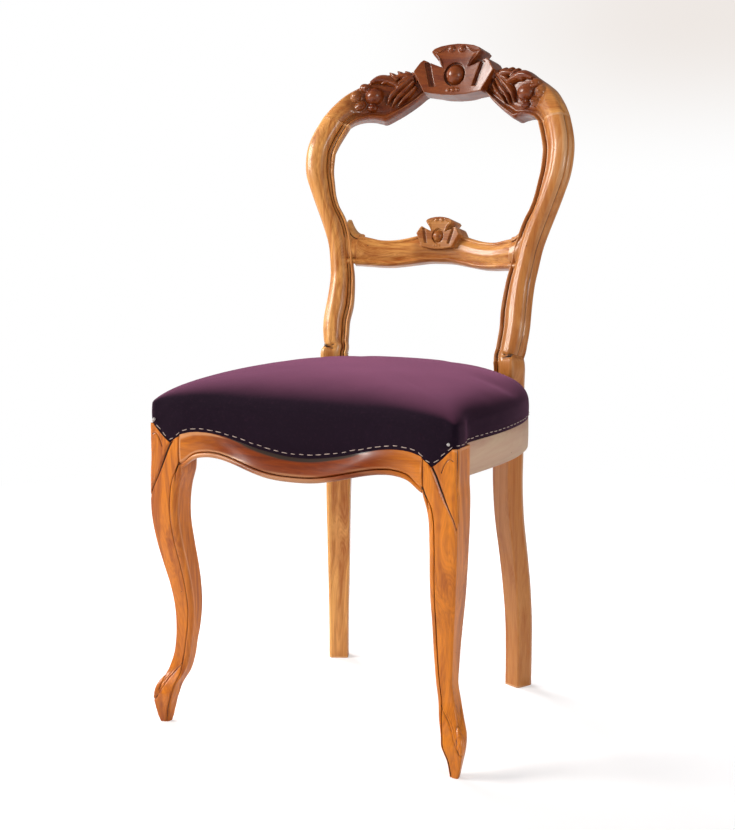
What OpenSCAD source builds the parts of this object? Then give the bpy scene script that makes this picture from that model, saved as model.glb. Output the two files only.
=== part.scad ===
// Balloon back side chair with cabriole front legs and an upholstered seat.
// X runs across the seat, Y from the front to the back, Z up from the floor.

/* [Seat frame] */
// Floor to the top face of the seat rails
rail_top_h = 430; // [405:1:450]
// Centre line to the outside of a side rail where the seat is widest
seat_half_w = 221.5; // [210:0.5:235]
// Seat datum to the front face of the front legs
front_reach = 198; // [185:1:215]
// Seat datum to the front face of the rear posts
post_reach = 150; // [135:0.5:160]
// Centre line to the middle of a rear post at the seat
post_half_gap = 131; // [124:1:140]
// Height of a side rail
side_rail_h = 59; // [50:1:70]
// Thickness of a side rail
side_rail_t = 24; // [18:1:28]
// Bare height of a side rail under the cloth
side_show_h = 41.5; // [34:0.5:48]
// Thickness of the front rail at its top
front_rail_t = 24; // [20:1:28]
// Height of the front rail where it hangs lowest
front_rail_h = 76; // [66:1:84]
// Height of the rear rail
rear_rail_h = 54; // [45:1:60]
// Thickness of the rear rail
rear_rail_t = 18; // [14:1:20]
// Depth of the rebate that the cloth lies in
rebate = 3.5; // [3.2:0.1:5]

/* [Front legs] */
// Side of the square leg head behind its front face
leg_head_d = 42.5; // [36:0.5:46]
// Width of the leg head from its outer corner inwards
leg_head_w = 46; // [38:1:50]
// Side of the leg at the ankle
ankle_w = 23; // [18:0.5:26]
// Side of the worn tip that stands on the floor
toe_w = 10; // [8:0.5:14]
// Floor to the sharp corner of the toe
toe_h = 45; // [38:1:55]
// Outward throw of the toe beyond the ankle
toe_throw = 23; // [16:1:28]
// Inward sweep of the leg from the knee to the ankle
knee_throw = 18; // [12:1:24]
// Rounding of the leg's corners
leg_round = 4; // [2:0.5:6]

/* [Rear posts] */
// Width of a post at the widest part of the balloon
post_w = 43; // [36:1:48]
// Thickness of the posts, the crest rail and the middle rail
back_t = 29; // [24:0.5:32]
// Backward splay of a rear foot behind the seat
foot_splay = 21; // [10:1:35]
// Outward splay of a rear foot beside the seat
foot_spread = 12; // [4:1:20]

/* [Back] */
// Top of the seat rails to the top of the crest rail beside the crown
back_h = 465; // [430:1:490]
// Height of the carved crown above the crest rail
crown_rise = 31; // [20:1:40]
// Half width of the crown at its widest
crown_half_w = 57; // [45:1:65]
// Centre line to the outside of a post where the balloon is widest
back_half_w = 199.5; // [190:0.5:215]
// Radius of the back's curve in plan
back_curve_r = 283; // [240:1:330]
// Backward lean of the back in degrees
back_rake = 13.4; // [8:0.1:18]
// Seat datum to the back's face on the centre line at the height of the rails
back_reach = 170; // [160:1:185]
// How far the waist of the posts stands in front of that curve
waist_set = 8; // [4:0.5:12]
// Height of the middle rail at its joints with the posts
mid_rail_h = 43; // [34:1:50]
// Top of the seat rails to the underside of the middle rail at its joints
mid_rail_rise = 174; // [160:1:190]
// Half width of the small fan carved on the middle rail
fan_half_w = 31; // [24:1:38]
// Distance that the carved fans stand proud of the rails
carving_proud = 9; // [5:0.5:12]

/* [Seat pad] */
// Crease of the border to the top of the seat pad's crown
pad_rise = 34; // [26:1:44]
// Top of the seat rails to the crease where the border meets the top
border_h = 16; // [12:1:22]
// Bulge of the border beyond the hem
border_bulge = 2.4; // [1:0.1:4]
// Thickness of the cover cloth with its lining
cover_t = 2.5; // [1.5:0.1:3]
// Width of a webbing strap
strap_w = 48; // [40:1:52]
// Thickness of a webbing strap
strap_t = 1.2; // [1:0.1:1.6]
// Thickness of the hessian sheet
hessian_t = 0.8; // [0.5:0.1:1]

/* [Fixings] */
// Diameter of the frame dowels
dowel_d = 8; // [6:0.5:9]
// Length of the frame dowels
dowel_l = 30; // [24:1:34]
// Diameter of the thin dowels in the middle rail
thin_dowel_d = 6; // [5:0.5:7]
// Thickness of the corner blocks
block_h = 28; // [20:1:34]
// Shank diameter of the corner block screws
screw_d = 4; // [3.5:0.1:5]
// Length of the corner block screws under the head
screw_l = 42; // [36:1:44]
// Head diameter of the tacks
tack_head_d = 6; // [5:0.5:7]
// Head diameter of the two corner pins
pin_head_d = 4; // [3:0.5:5]

/* [Hidden] */

// Clearance round a soft or loose piece
gap = 0.3;
// Clearance round a dowel or a screw in its bore
bore_gap = 0.1;
// Overrun of every cut past the face that it leaves
over = 1;
// Facets of round pieces
round_fn = 32;
// Heights over the floor that follow from the sizes above
crest_top_h = rail_top_h + back_h;
mid_rail_low_h = rail_top_h + mid_rail_rise;
border_top_h = rail_top_h + border_h;
pad_top_h = border_top_h + pad_rise;

// Plain vector helpers
function unit(v) = v / norm(v);
function mix(a, b, t) = a + (b - a) * t;
function flip_x(p) = [-p[0], p[1], p[2]];
function pick(l, i) = l[max(0, min(len(l) - 1, i))];

// Smooth curve through a list of values, s counting from 0 to the last one
function curve(l, s) =
    let (i = min(floor(s), len(l) - 2), f = s - i,
         a = pick(l, i - 1), b = l[i], c = l[i + 1], d = pick(l, i + 2))
    0.5 * (2 * b + (c - a) * f + (2 * a - 5 * b + 4 * c - d) * f * f
         + (3 * b - a - 3 * c + d) * f * f * f);

// Solid skinned over a list of rings that all have the same number of points
module loft(rings) {
    n = len(rings);
    m = len(rings[0]);
    points = [for (r = rings) for (p = r) p];
    sides = [for (i = [0:n - 2]) for (j = [0:m - 1])
             let (k = (j + 1) % m)
             each [[i * m + j, (i + 1) * m + k, i * m + k],
                   [i * m + j, (i + 1) * m + j, (i + 1) * m + k]]];
    first = [[for (j = [0:m - 1]) j]];
    last = [[for (j = [m - 1:-1:0]) (n - 1) * m + j]];
    polyhedron(points = points, faces = concat(sides, first, last), convexity = 6);
}

// Cylinder from a point along a direction
module rod(from, way, d, l) {
    u = unit(way);
    translate(from)
        rotate([0, acos(u[2]), atan2(u[1], u[0])])
            cylinder(d = d, h = l, $fn = round_fn);
}

// Dowel centred on a joint face, and the bore that takes it
module dowel(at, way, d = dowel_d) {
    rod(at - unit(way) * dowel_l / 2, way, d, dowel_l);
}
module dowel_bore(at, way, d = dowel_d) {
    reach = dowel_l + 2 * bore_gap;
    rod(at - unit(way) * reach / 2, way, d + 2 * bore_gap, reach);
}

// Front face of the back as a surface curved in plan and leaning backwards
function back_y(x, z) =
    back_reach + (z - rail_top_h) * tan(back_rake) - x * x / (2 * back_curve_r);
function on_back(x, z) = [x, back_y(x, z), z];
function back_face(x) = unit([-x / back_curve_r, -1, tan(back_rake)]);

// Depth of the whole chair, which places its middle over the origin
front_bulge = 14;
front_most = -(front_reach + front_bulge);
rear_most = back_y(0, crest_top_h + crown_rise) + back_t / cos(back_rake);
mid_y = (front_most + rear_most) / 2;

// Rib of a rail or post: section points run from the inner edge to the outer
// edge, and back from the face in shares of the thickness
function rib(inner, outer, face, section, t = back_t) =
    [for (q = section) inner + (outer - inner) * q[0] + face * q[1] * t];

// Section of a plain post and of one moulded with a bead and a broad round
plain_shares = [[0, -0.42], [0, -0.2], [0.02, -0.07], [0.06, -0.02], [0.12, 0],
                [0.2, 0], [0.27, 0], [0.38, 0], [0.52, 0], [0.7, 0], [0.86, -0.02],
                [0.97, -0.1], [1, -0.3], [1, -0.9], [0.96, -1], [0.04, -1], [0, -0.9]];
moulded_shares = [[0, -0.42], [0, -0.2], [0.04, -0.08], [0.1, -0.05], [0.16, -0.1],
                  [0.2, -0.22], [0.27, -0.1], [0.38, -0.01], [0.52, 0], [0.7, -0.06],
                  [0.86, -0.18], [0.97, -0.36], [1, -0.55], [0.99, -0.85],
                  [0.93, -1], [0.08, -1], [0, -0.88]];
function post_section(m) =
    [for (i = [0:len(plain_shares) - 1]) mix(plain_shares[i], moulded_shares[i], m)];

// Crest rail: outline of its right half, from the joint with the post to the
// centre line, as shares of the balloon's half width and of its height
crest_outer_shares = [[0.922, 0.843], [0.872, 0.877], [0.802, 0.912], [0.727, 0.935],
                      [0.64, 0.957], [0.566, 0.976], [0.5, 0.981], [0.426, 0.982],
                      [0.346, 0.984], [0.281, 0.99], [0.2, 0.997], [0.1, 1], [0, 1]];
crest_inner_shares = [[0.742, 0.813], [0.707, 0.824], [0.657, 0.832], [0.601, 0.835],
                      [0.546, 0.832], [0.506, 0.829], [0.451, 0.842], [0.386, 0.86],
                      [0.306, 0.886], [0.241, 0.911], [0.195, 0.914], [0.1, 0.904],
                      [0, 0.901]];
crest_bevel_shares = [0, 0.08, 0.15, 0.18, 0.18, 0.18, 0.16, 0.16, 0.18, 0.2, 0.2, 0.18, 0.18];
function back_place(share) =
    on_back(share[0] * back_half_w, rail_top_h + share[1] * back_h);
function crest_rib(i) =
    let (inner = back_place(crest_inner_shares[i]), outer = back_place(crest_outer_shares[i]),
         face = back_face((inner[0] + outer[0]) / 2), bevel = crest_bevel_shares[i])
    rib(inner, outer, face,
        [for (q = moulded_shares) q[0] < 0.15 ? [q[0] + bevel * q[1], q[1]] : q]);
joint_in = back_place(crest_inner_shares[0]);
joint_out = back_place(crest_outer_shares[0]);
joint_face = back_face((joint_in[0] + joint_out[0]) / 2);
joint_way = unit(cross(joint_out - joint_in, joint_face));

// Rear leg and post in one run, from the floor to the crest joint. The leg's
// heights are shares of the rails' height, the post's are shares of the back's
leg_height_shares = [0, 0.116, 0.233, 0.35, 0.465, 0.58, 0.7, 0.81, 0.92, 1.02];
leg_splay_shares = [1, 1, 0.95, 0.76, 0.46, 0.14, 0, 0, 0, 0];
leg_spread_shares = [1, 1, 0.94, 0.75, 0.48, 0.17, 0, 0, 0, 0];
leg_width_shares = [0.67, 0.68, 0.72, 0.77, 0.8, 0.835, 0.86, 0.88, 0.88, 0.88];
post_height_shares = [0.108, 0.118, 0.13, 0.165, 0.2, 0.258, 0.301, 0.344, 0.383, 0.452,
                      0.51, 0.545, 0.58, 0.624, 0.667, 0.703, 0.742, 0.774];
post_side_shares = [0.665, 0.66, 0.67, 0.679, 0.684, 0.677, 0.679, 0.687, 0.703, 0.732,
                    0.778, 0.816, 0.847, 0.877, 0.902, 0.909, 0.905, 0.884];
post_width_shares = [0.88, 0.83, 0.88, 0.91, 0.916, 0.94, 0.89, 0.837, 0.802, 0.807,
                     0.81, 0.74, 0.76, 0.86, 0.96, 1, 1, 1];
post_set_shares = [0.95, 0.9, 0.85, 0.71, 0.6, 0.37, 0.22, 0.08, 0, 0, 0, 0, 0, 0, 0, 0, 0, 0];
post_x = post_half_gap;
// Each station holds x, y, z, width and how far the moulding has grown
leg_stations = [for (i = [0:len(leg_height_shares) - 1])
    [post_x + foot_spread * leg_spread_shares[i],
     post_reach + foot_splay * leg_splay_shares[i],
     rail_top_h * leg_height_shares[i], post_w * leg_width_shares[i], 0]];
post_stations = [for (i = [0:len(post_height_shares) - 1])
    let (x = back_half_w * post_side_shares[i], z = rail_top_h + back_h * post_height_shares[i])
    [x, back_y(x, z) - waist_set * post_set_shares[i], z,
     post_w * post_width_shares[i], i < 2 ? 0 : 1]];
joint_mid = (joint_in + joint_out) / 2;
stations = concat(leg_stations, post_stations,
                  [[joint_mid[0], joint_mid[1], joint_mid[2], post_w, 1]]);
function place(s) = [s[0], s[1], s[2]];
function post_rib(i) =
    let (s = stations[i], way = unit(place(stations[i + 1]) - place(stations[max(0, i - 1)])),
         level = i < len(leg_stations),
         up = level ? [0, 0, 1] : way,
         lean = back_face(level ? post_x : s[0]),
         flat = level ? [lean[0], lean[1], 0] : lean - up * (lean * up),
         face = unit(flat), out = cross(up, face))
    rib(place(s) - out * s[3] / 2, place(s) + out * s[3] / 2, face, post_section(s[4]));

// Flat seat faces of a post, which the side rail and the rear rail meet
post_face = let (n = back_face(post_x)) unit([n[0], n[1], 0]);
post_out = cross([0, 0, 1], post_face);
seat_post_w = post_w * leg_width_shares[8];
function post_at(side, depth, z) =
    [post_x, post_reach, 0] + post_out * side - post_face * depth + [0, 0, z];

// Middle rail: lower and upper edge from the joint to the centre line, as
// shares of the joint's distance and of the rail's height
post_edges = [for (s = post_stations) [s[2], s[0] - s[3] / 2]];
mid_joint_x = lookup(mid_rail_low_h, post_edges) - bore_gap;
mid_low_shares = [[1, 0], [0.89, -0.02], [0.71, -0.045], [0.55, -0.045], [0.41, 0],
                  [0.27, 0.06], [0.13, 0.115], [0, 0.125]];
mid_top_shares = [[1, 1], [0.93, 0.93], [0.8, 0.85], [0.66, 0.84], [0.52, 0.88],
                  [0.4, 0.96], [0.28, 1.06], [0.12, 1.2], [0, 1.2]];
mid_section_shares = [[0, -0.5], [0, -0.22], [0.06, -0.12], [0.15, -0.12], [0.22, -0.24],
                      [0.3, -0.1], [0.45, 0], [0.62, 0], [0.78, -0.08], [0.88, -0.2],
                      [0.93, -0.14], [1, -0.24], [1, -0.6], [0.97, -1], [0.03, -1]];
mid_count = 12;
function mid_rib(t) =
    let (low = curve(mid_low_shares, t * (len(mid_low_shares) - 1)),
         top = curve(mid_top_shares, t * (len(mid_top_shares) - 1)),
         x = mid_joint_x * (1 - t),
         inner = on_back(x, mid_rail_low_h + mid_rail_h * low[1]),
         outer = on_back(x, mid_rail_low_h + mid_rail_h * top[1]))
    rib(inner, outer, [0, -1, 0], mid_section_shares);
mid_end_rib = mid_rib(0);
ear_depth = 14;
ear_sink = 8;
ear_slant = 0.5;
ear_rise = 11;
mid_ear = [for (p = mid_end_rib)
           let (behind = p[1] - back_y(mid_joint_x, p[2]),
                x = mid_joint_x + ear_depth + ear_slant * behind,
                up = (p[2] - mid_rail_low_h) / mid_rail_h)
           [x, p[1] + back_y(x, p[2]) - back_y(mid_joint_x, p[2]) + ear_sink,
            p[2] + ear_rise * up]];

module rear_post() {
    rings = concat([for (i = [0:len(stations) - 2]) post_rib(i)],
                   [rib(joint_in, joint_out, joint_face, moulded_shares)]);
    difference() {
        union() {
            loft(rings);
            loft([mid_ear, mid_end_rib]);
        }
        crest_dowel_places() dowel_bore([0, 0, 0], joint_way);
        mid_dowel_places() dowel_bore([0, 0, 0], [1, 0, 0], thin_dowel_d);
        side_rear_dowel_places() dowel_bore([0, 0, 0], rail_end_way);
        rear_dowel_places() dowel_bore([0, 0, 0], post_out);
        post_screw();
    }
}

// Places of the dowels in each joint, on the right hand side
module crest_dowel_places() {
    for (s = [-1, 1])
        translate(joint_mid + unit(joint_out - joint_in) * s * post_w / 5
                  - joint_face * back_t / 2)
            children();
}
mid_dowel_shares = [[0.22, 0.56], [0.72, 0.66]];
module mid_dowel_places() {
    for (s = mid_dowel_shares)
        translate(on_back(mid_joint_x, mid_rail_low_h + mid_rail_h * s[0])
                  + [0, back_t * s[1], 0])
            children();
}

// Crown and fan: flat carved blocks cut to an outline, then set on the rail
crown_shares = [[-0.36, 0], [-0.44, 0.05], [-0.98, 0.64], [-1, 0.68], [-0.9, 0.7],
                [-0.42, 0.58], [-0.72, 0.86], [-0.71, 0.93], [-0.35, 0.99], [0, 1],
                [0.35, 0.99], [0.71, 0.93], [0.72, 0.86], [0.42, 0.58], [0.9, 0.7],
                [1, 0.68], [0.98, 0.64], [0.44, 0.05], [0.36, 0]];
crown_h = crown_rise + (1 - crest_inner_shares[12][1]) * back_h;
crown_low_h = rail_top_h + crest_inner_shares[12][1] * back_h;
fan_h = mid_rail_h * 1.3;
fan_low_h = mid_rail_low_h + mid_rail_h * 0.5;
module fan_block(half_w, h, low_h, thick) {
    translate(on_back(0, low_h))
        rotate([90 - back_rake, 0, 0])
            translate([0, 0, carving_proud - thick])
                linear_extrude(height = thick)
                    polygon([for (s = crown_shares) [s[0] * half_w, s[1] * h]]);
}
module boss(x_share, up_share, d, half_w, h, low_h) {
    translate(on_back(0, low_h))
        rotate([90 - back_rake, 0, 0])
            translate([x_share * half_w, up_share * h, carving_proud])
                sphere(d = d, $fn = round_fn);
}
crown_lean = 1 / cos(back_rake);
boss_d_share = 0.33;
roundel_d_share = 0.12;
fruit_d_share = 0.5;
fruit_side_share = 0.6;
fruit_up_share = 0.903;

module crest_rail() {
    last = len(crest_outer_shares) - 1;
    right = [for (i = [0:last]) crest_rib(i)];
    left = [for (i = [last - 1:-1:0]) [for (p = crest_rib(i)) flip_x(p)]];
    color("saddlebrown")
        translate([0, -mid_y, 0])
            difference() {
                union() {
                    loft(concat(right, left));
                    crown_block();
                    fruits();
                }
                for (s = [0, 1]) mirror([s, 0, 0])
                    crest_dowel_places() dowel_bore([0, 0, 0], joint_way);
            }
}
module crown_block() {
    thick = carving_proud + back_t;
    fan_block(crown_half_w, crown_h * crown_lean, crown_low_h, thick);
    boss(0, 0.42, crown_h * boss_d_share, crown_half_w, crown_h * crown_lean, crown_low_h);
    for (s = [-0.15, 0.15])
        boss(s, 0.9, crown_h * roundel_d_share, crown_half_w, crown_h * crown_lean, crown_low_h);
}
// Round fruit carved on each shoulder of the crest rail
module fruits() {
    for (s = [-1, 1])
        translate(back_place([fruit_side_share * s, fruit_up_share]))
            sphere(d = post_w * fruit_d_share, $fn = round_fn);
}

module mid_rail() {
    right = [for (i = [0:mid_count]) mid_rib(i / mid_count)];
    left = [for (i = [mid_count - 1:-1:0]) [for (p = mid_rib(i / mid_count)) flip_x(p)]];
    thick = carving_proud + back_t / 2;
    color("peru")
        translate([0, -mid_y, 0])
            difference() {
                union() {
                    loft(concat(right, left));
                    fan_block(fan_half_w, fan_h, fan_low_h, thick);
                    boss(0, 0.42, fan_h * boss_d_share, fan_half_w, fan_h, fan_low_h);
                    for (s = [-0.15, 0.15])
                        boss(s, 0.9, fan_h * roundel_d_share, fan_half_w, fan_h, fan_low_h);
                }
                for (s = [0, 1]) mirror([s, 0, 0])
                    mid_dowel_places() dowel_bore([0, 0, 0], [1, 0, 0], thin_dowel_d);
            }
}

// Front leg: outer corner, inner side and back of the section at each height.
// Sideways places are shares of the knee's and the toe's throw from the head
leg_inset = 0.5;
leg_in_x = seat_half_w - leg_inset - leg_head_w;
head_x = leg_in_x + leg_head_w;
front_heights_shares = [0, 0.45, 0.9, 1.12];
shank_height_shares = [0.163, 0.209, 0.256, 0.302, 0.372, 0.442, 0.512, 0.581, 0.674, 0.767,
                       0.814, 0.85, 0.88];
shank_out_shares = [0.3, 0.68, 0.9, 0.93, 0.86, 0.66, 0.38, 0.14, -0.08, -0.1, -0.06, 0, 0];
shank_front_shares = [1.12, 1.4, 1.44, 1.5, 1.45, 1.18, 0.76, 0.34, 0, 0, 0, 0, 0];
shank_width_shares = [0.12, 0.02, 0, 0.09, 0.23, 0.37, 0.53, 0.61, 0.68, 0.81, 1, 1, 1];
shank_depth_shares = [0, 0, 0, 0.1, 0.26, 0.44, 0.6, 0.73, 0.83, 0.93, 1, 1, 1];
toe_out_shares = [0.7, 0.87, 1, 0.93];
toe_front_shares = [0.75, 0.85, 0.95, 0.8];
toe_width_shares = [0, 0.35, 0.95, 0.85];
toe_depth_shares = [0, 0.25, 0.6, 0.75];
ankle_x = head_x - knee_throw * 0.89;
ankle_y = -(front_reach - 1.5 * knee_throw);
toe_front_share = 0.92;
shank_out_share = 0.94;
// Each station holds the corner's x and y, the height, the width and the depth
toe_stations = [for (i = [0:3])
    [ankle_x + toe_throw * toe_out_shares[i], ankle_y - toe_throw * toe_front_share * toe_front_shares[i],
     toe_h * front_heights_shares[i], mix(toe_w, ankle_w * 1.35, toe_width_shares[i]),
     mix(toe_w, ankle_w, toe_depth_shares[i])]];
shank_stations = [for (i = [0:len(shank_height_shares) - 1])
    [head_x - knee_throw * shank_out_shares[i] * shank_out_share,
     -front_reach + knee_throw * shank_front_shares[i],
     rail_top_h * shank_height_shares[i],
     mix(ankle_w, leg_head_w, shank_width_shares[i]),
     mix(ankle_w, leg_head_d, shank_depth_shares[i])]];
front_stations = concat(toe_stations, shank_stations);
leg_steps = 2;

// Section of a front leg, from its inner back corner round by the front
function leg_ring(x, y, w, d, r) =
    let (x0 = x - w, y1 = y + d)
    [[x0 + r, y1], [x0, y1 - r], [x0, y + r], [x0 + r * 0.3, y + r * 0.3], [x0 + r, y],
     [x - r, y], [x - r * 0.15, y + r * 0.15], [x, y + r], [x, y1 - r],
     [x - r * 0.3, y1 - r * 0.3], [x - r, y1]];
function leg_level(s) =
    let (x = s[0], w = min(s[3], x - leg_in_x), r = min(leg_round, s[3] / 4))
    [for (p = leg_ring(x, s[1], w, s[4], r)) [p[0], p[1], s[2]]];
// Bare wood rises to a leaf point at the outer corner, and dips beside it
leaf_drop = 19.5;
notch_drop = 44;
leaf_top_h = rail_top_h - leaf_drop;
notch_h = rail_top_h - notch_drop;
rebate_slope = 1;
head_tops = [leaf_top_h, notch_h, notch_h, notch_h, notch_h, leaf_top_h, leaf_top_h,
             leaf_top_h, leaf_top_h, leaf_top_h, leaf_top_h];
module front_leg() {
    count = (len(front_stations) - 1) * leg_steps;
    rings = [for (i = [0:count]) leg_level(curve(front_stations, i / leg_steps))];
    head = leg_ring(head_x, -front_reach, leg_head_w, leg_head_d, leg_round);
    core = leg_ring(head_x - rebate, -front_reach + rebate,
                    leg_head_w - rebate, leg_head_d - rebate, leg_round);
    last = len(head) - 1;
    rim = [for (i = [0:last]) [head[i][0], head[i][1], head_tops[i]]];
    step = [for (i = [0:last]) [core[i][0], core[i][1], head_tops[i] + rebate_slope]];
    top = [for (p = core) [p[0], p[1], rail_top_h]];
    difference() {
        loft(concat(rings, [rim, step, top]));
        front_dowel_places() dowel_bore([0, 0, 0], [1, 0, 0]);
        side_front_dowel_places() dowel_bore([0, 0, 0], [0, 1, 0]);
        leg_screw();
        pin_shank(bore_gap);
    }
}
module front_leg_right() {
    color("chocolate") translate([0, -mid_y, 0]) front_leg();
}
module front_leg_left() {
    color("chocolate") translate([0, -mid_y, 0]) mirror([1, 0, 0]) front_leg();
}
module rear_post_right() {
    color("peru") translate([0, -mid_y, 0]) rear_post();
}
module rear_post_left() {
    color("peru") translate([0, -mid_y, 0]) mirror([1, 0, 0]) rear_post();
}

// Front rail: cloth line, lower edge and forward bulge along its right half
front_in_y = -front_reach + rebate * 2 + front_rail_t;
front_line_shares = [0.363, 0.375, 0.408, 0.454, 0.513, 0.579, 0.632, 0.66, 0.655, 0.605];
front_low_shares = [0, 0.005, 0.028, 0.075, 0.134, 0.19, 0.23, 0.235, 0.178, 0.007];
front_bulge_shares = [1, 0.97, 0.87, 0.68, 0.42, 0.15, -0.04, -0.1, -0.07, 0];
front_low_h = rail_top_h - front_rail_h;
cloth_back = 9;
bead_h = 6;
cloth_shares = [1, 1, 0.98, 0.95, 0.9, 0.82, 0.7, 0.5, 0.3, 0.1];
front_count = 14;
function front_cloth_h(t) = front_low_h + front_rail_h * curve(front_line_shares, t * 9);
function front_cloth_y(t) = -front_reach + cloth_back * curve(cloth_shares, t * 9);
function front_rib(t) =
    let (x = leg_in_x * t, low = front_low_h + front_rail_h * curve(front_low_shares, t * 9),
         line = front_cloth_h(t), bead_y = -front_reach - front_bulge * curve(front_bulge_shares, t * 9),
         top_y = front_cloth_y(t), show = line - low)
    [[x, front_in_y, low + bead_h], [x, bead_y + bead_h * 1.5, low],
     [x, bead_y + bead_h * 0.33, low + bead_h * 0.08],
     [x, bead_y, low + bead_h * 0.5], [x, bead_y + bead_h * 0.37, low + bead_h * 1.08],
     [x, mix(bead_y, top_y, 0.3), low + show * 0.36],
     [x, mix(bead_y, top_y, 0.62), low + show * 0.66],
     [x, mix(bead_y, top_y, 0.9), line - bead_h * 0.5], [x, top_y, line],
     [x, top_y + rebate, line + rebate_slope], [x, top_y + rebate, rail_top_h],
     [x, front_in_y, rail_top_h]];
end_plate_t = 2;
module front_end_plate() {
    translate([leg_in_x - end_plate_t, 0, 0])
        rotate([90, 0, 90])
            linear_extrude(height = end_plate_t)
                polygon([for (p = front_rib(1)) [p[1], p[2]]]);
}
module front_seat_rail() {
    steps = [for (i = [0:front_count - 1]) i / front_count];
    right = concat([[for (p = front_rib(1)) [leg_in_x - end_plate_t, p[1], p[2]]]],
                   [for (i = [front_count - 1:-1:0]) front_rib(steps[i])]);
    left = concat([for (i = [1:front_count - 1]) [for (p = front_rib(steps[i])) flip_x(p)]],
                  [[for (p = front_rib(1)) [end_plate_t - leg_in_x, p[1], p[2]]]]);
    color("sienna")
        translate([0, -mid_y, 0])
            difference() {
                union() {
                    loft(concat(right, left));
                    for (s = [0, 1]) mirror([s, 0, 0]) front_end_plate();
                }
                for (s = [0, 1]) mirror([s, 0, 0])
                    front_dowel_places() dowel_bore([0, 0, 0], [1, 0, 0]);
                tack_holes();
            }
}
front_dowel_shares = [0.3, 0.62];
module front_dowel_places() {
    for (up = front_dowel_shares)
        translate([leg_in_x, front_in_y - front_rail_t / 2, rail_top_h - front_rail_h * up])
            children();
}

// Side rail: its outer face in plan, from the front leg to the rear post
leg_back_y = -front_reach + leg_head_d;
end_out_share = 0.74;
end_in_share = -0.368;
end_out = post_at(seat_post_w * end_out_share, 0, 0);
end_in = post_at(seat_post_w * end_in_share, 0, 0);
// Along the rail its outer face stands between the post and the widest place
side_across_shares = [0.906, 0.972, 1, 0.955, 0.808, 0.599, 0.321];
side_along_shares = [0, 0.2, 0.371, 0.543, 0.715, 0.835, 0.935];
side_run = end_out[1] - leg_back_y;
side_points = concat([for (i = [0:6]) [mix(end_out[0], seat_half_w, side_across_shares[i]),
                                       leg_back_y + side_run * side_along_shares[i]]],
                     [[end_out[0], end_out[1]]]);
function side_at(t) = curve(side_points, t * 7);
function side_way(t) = unit(side_at(min(1, t + 0.01)) - side_at(max(0, t - 0.01)));
function side_normal(t) = let (w = side_way(t)) [w[1], -w[0]];
function side_in(t) =
    t == 0 ? side_at(0) - [side_rail_t, 0] :
    t == 1 ? [end_in[0], end_in[1]] : side_at(t) - side_normal(t) * side_rail_t;
side_count = 16;
side_low_h = rail_top_h - side_rail_h;
side_line_h = side_low_h + side_show_h;
function side_rib(t) =
    let (out = side_at(t), inn = side_in(t), cut = mix(out, inn, rebate / side_rail_t),
         ease = mix(out, inn, side_ease / side_rail_t))
    [[inn[0], inn[1], side_low_h], [inn[0], inn[1], rail_top_h], [cut[0], cut[1], rail_top_h],
     [cut[0], cut[1], side_line_h + rebate_slope], [out[0], out[1], side_line_h],
     [out[0], out[1], side_low_h + side_ease], [ease[0], ease[1], side_low_h]];
rail_end_way = [-0.6, 0.8, 0];
side_ease = 2;
module side_rail() {
    difference() {
        loft([for (i = [0:side_count]) side_rib(i / side_count)]);
        side_front_dowel_places() dowel_bore([0, 0, 0], [0, 1, 0]);
        side_rear_dowel_places() dowel_bore([0, 0, 0], rail_end_way);
        post_screw();
        tack_holes();
    }
}
module side_seat_rail_right() {
    color("rosybrown") translate([0, -mid_y, 0]) side_rail();
}
module side_seat_rail_left() {
    color("rosybrown") translate([0, -mid_y, 0]) mirror([1, 0, 0]) side_rail();
}
side_front_dowel_shares = [0.41, 0.78];
side_rear_dowel_shares = [0.44, 0.78];
rear_touch_share = -0.12;
side_dowel_share = 0.18;
module side_front_dowel_places() {
    for (up = side_front_dowel_shares)
        translate([side_at(0)[0] - side_rail_t / 2, leg_back_y, rail_top_h - side_rail_h * up])
            children();
}
module side_rear_dowel_places() {
    for (up = side_rear_dowel_shares)
        translate(post_at(seat_post_w * side_dowel_share, 0, rail_top_h - side_rail_h * up))
            children();
}

// Rear rail: curved like the back, between the flat inner sides of the posts
rear_set = 2;
rear_end_front = post_at(-seat_post_w / 2, rear_set, 0);
rear_end_back = post_at(-seat_post_w / 2, rear_set + rear_rail_t, 0);
rear_bow = 9;
rear_count = 6;
function rear_edge(end, t) = [end[0] * t, end[1] + rear_bow * (1 - t * t)];
function rear_rib(t) =
    let (f = rear_edge(rear_end_front, t), b = rear_edge(rear_end_back, t),
         low = rail_top_h - rear_rail_h)
    [[b[0], b[1], low], [f[0], f[1], low], [f[0], f[1], rail_top_h], [b[0], b[1], rail_top_h]];
module rear_seat_rail() {
    right = [for (i = [rear_count:-1:0]) rear_rib(i / rear_count)];
    left = [for (i = [1:rear_count]) [for (p = rear_rib(i / rear_count)) flip_x(p)]];
    color("burlywood")
        translate([0, -mid_y, 0])
            difference() {
                loft(concat(right, left));
                for (s = [0, 1]) mirror([s, 0, 0])
                    rear_dowel_places() dowel_bore([0, 0, 0], post_out);
                tack_holes();
            }
}
rear_dowel_shares = [0.3, 0.6];
module rear_dowel_places() {
    for (up = rear_dowel_shares)
        translate(post_at(-seat_post_w / 2, rear_set + rear_rail_t / 2,
                          rail_top_h - rear_rail_h * up))
            children();
}

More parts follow.
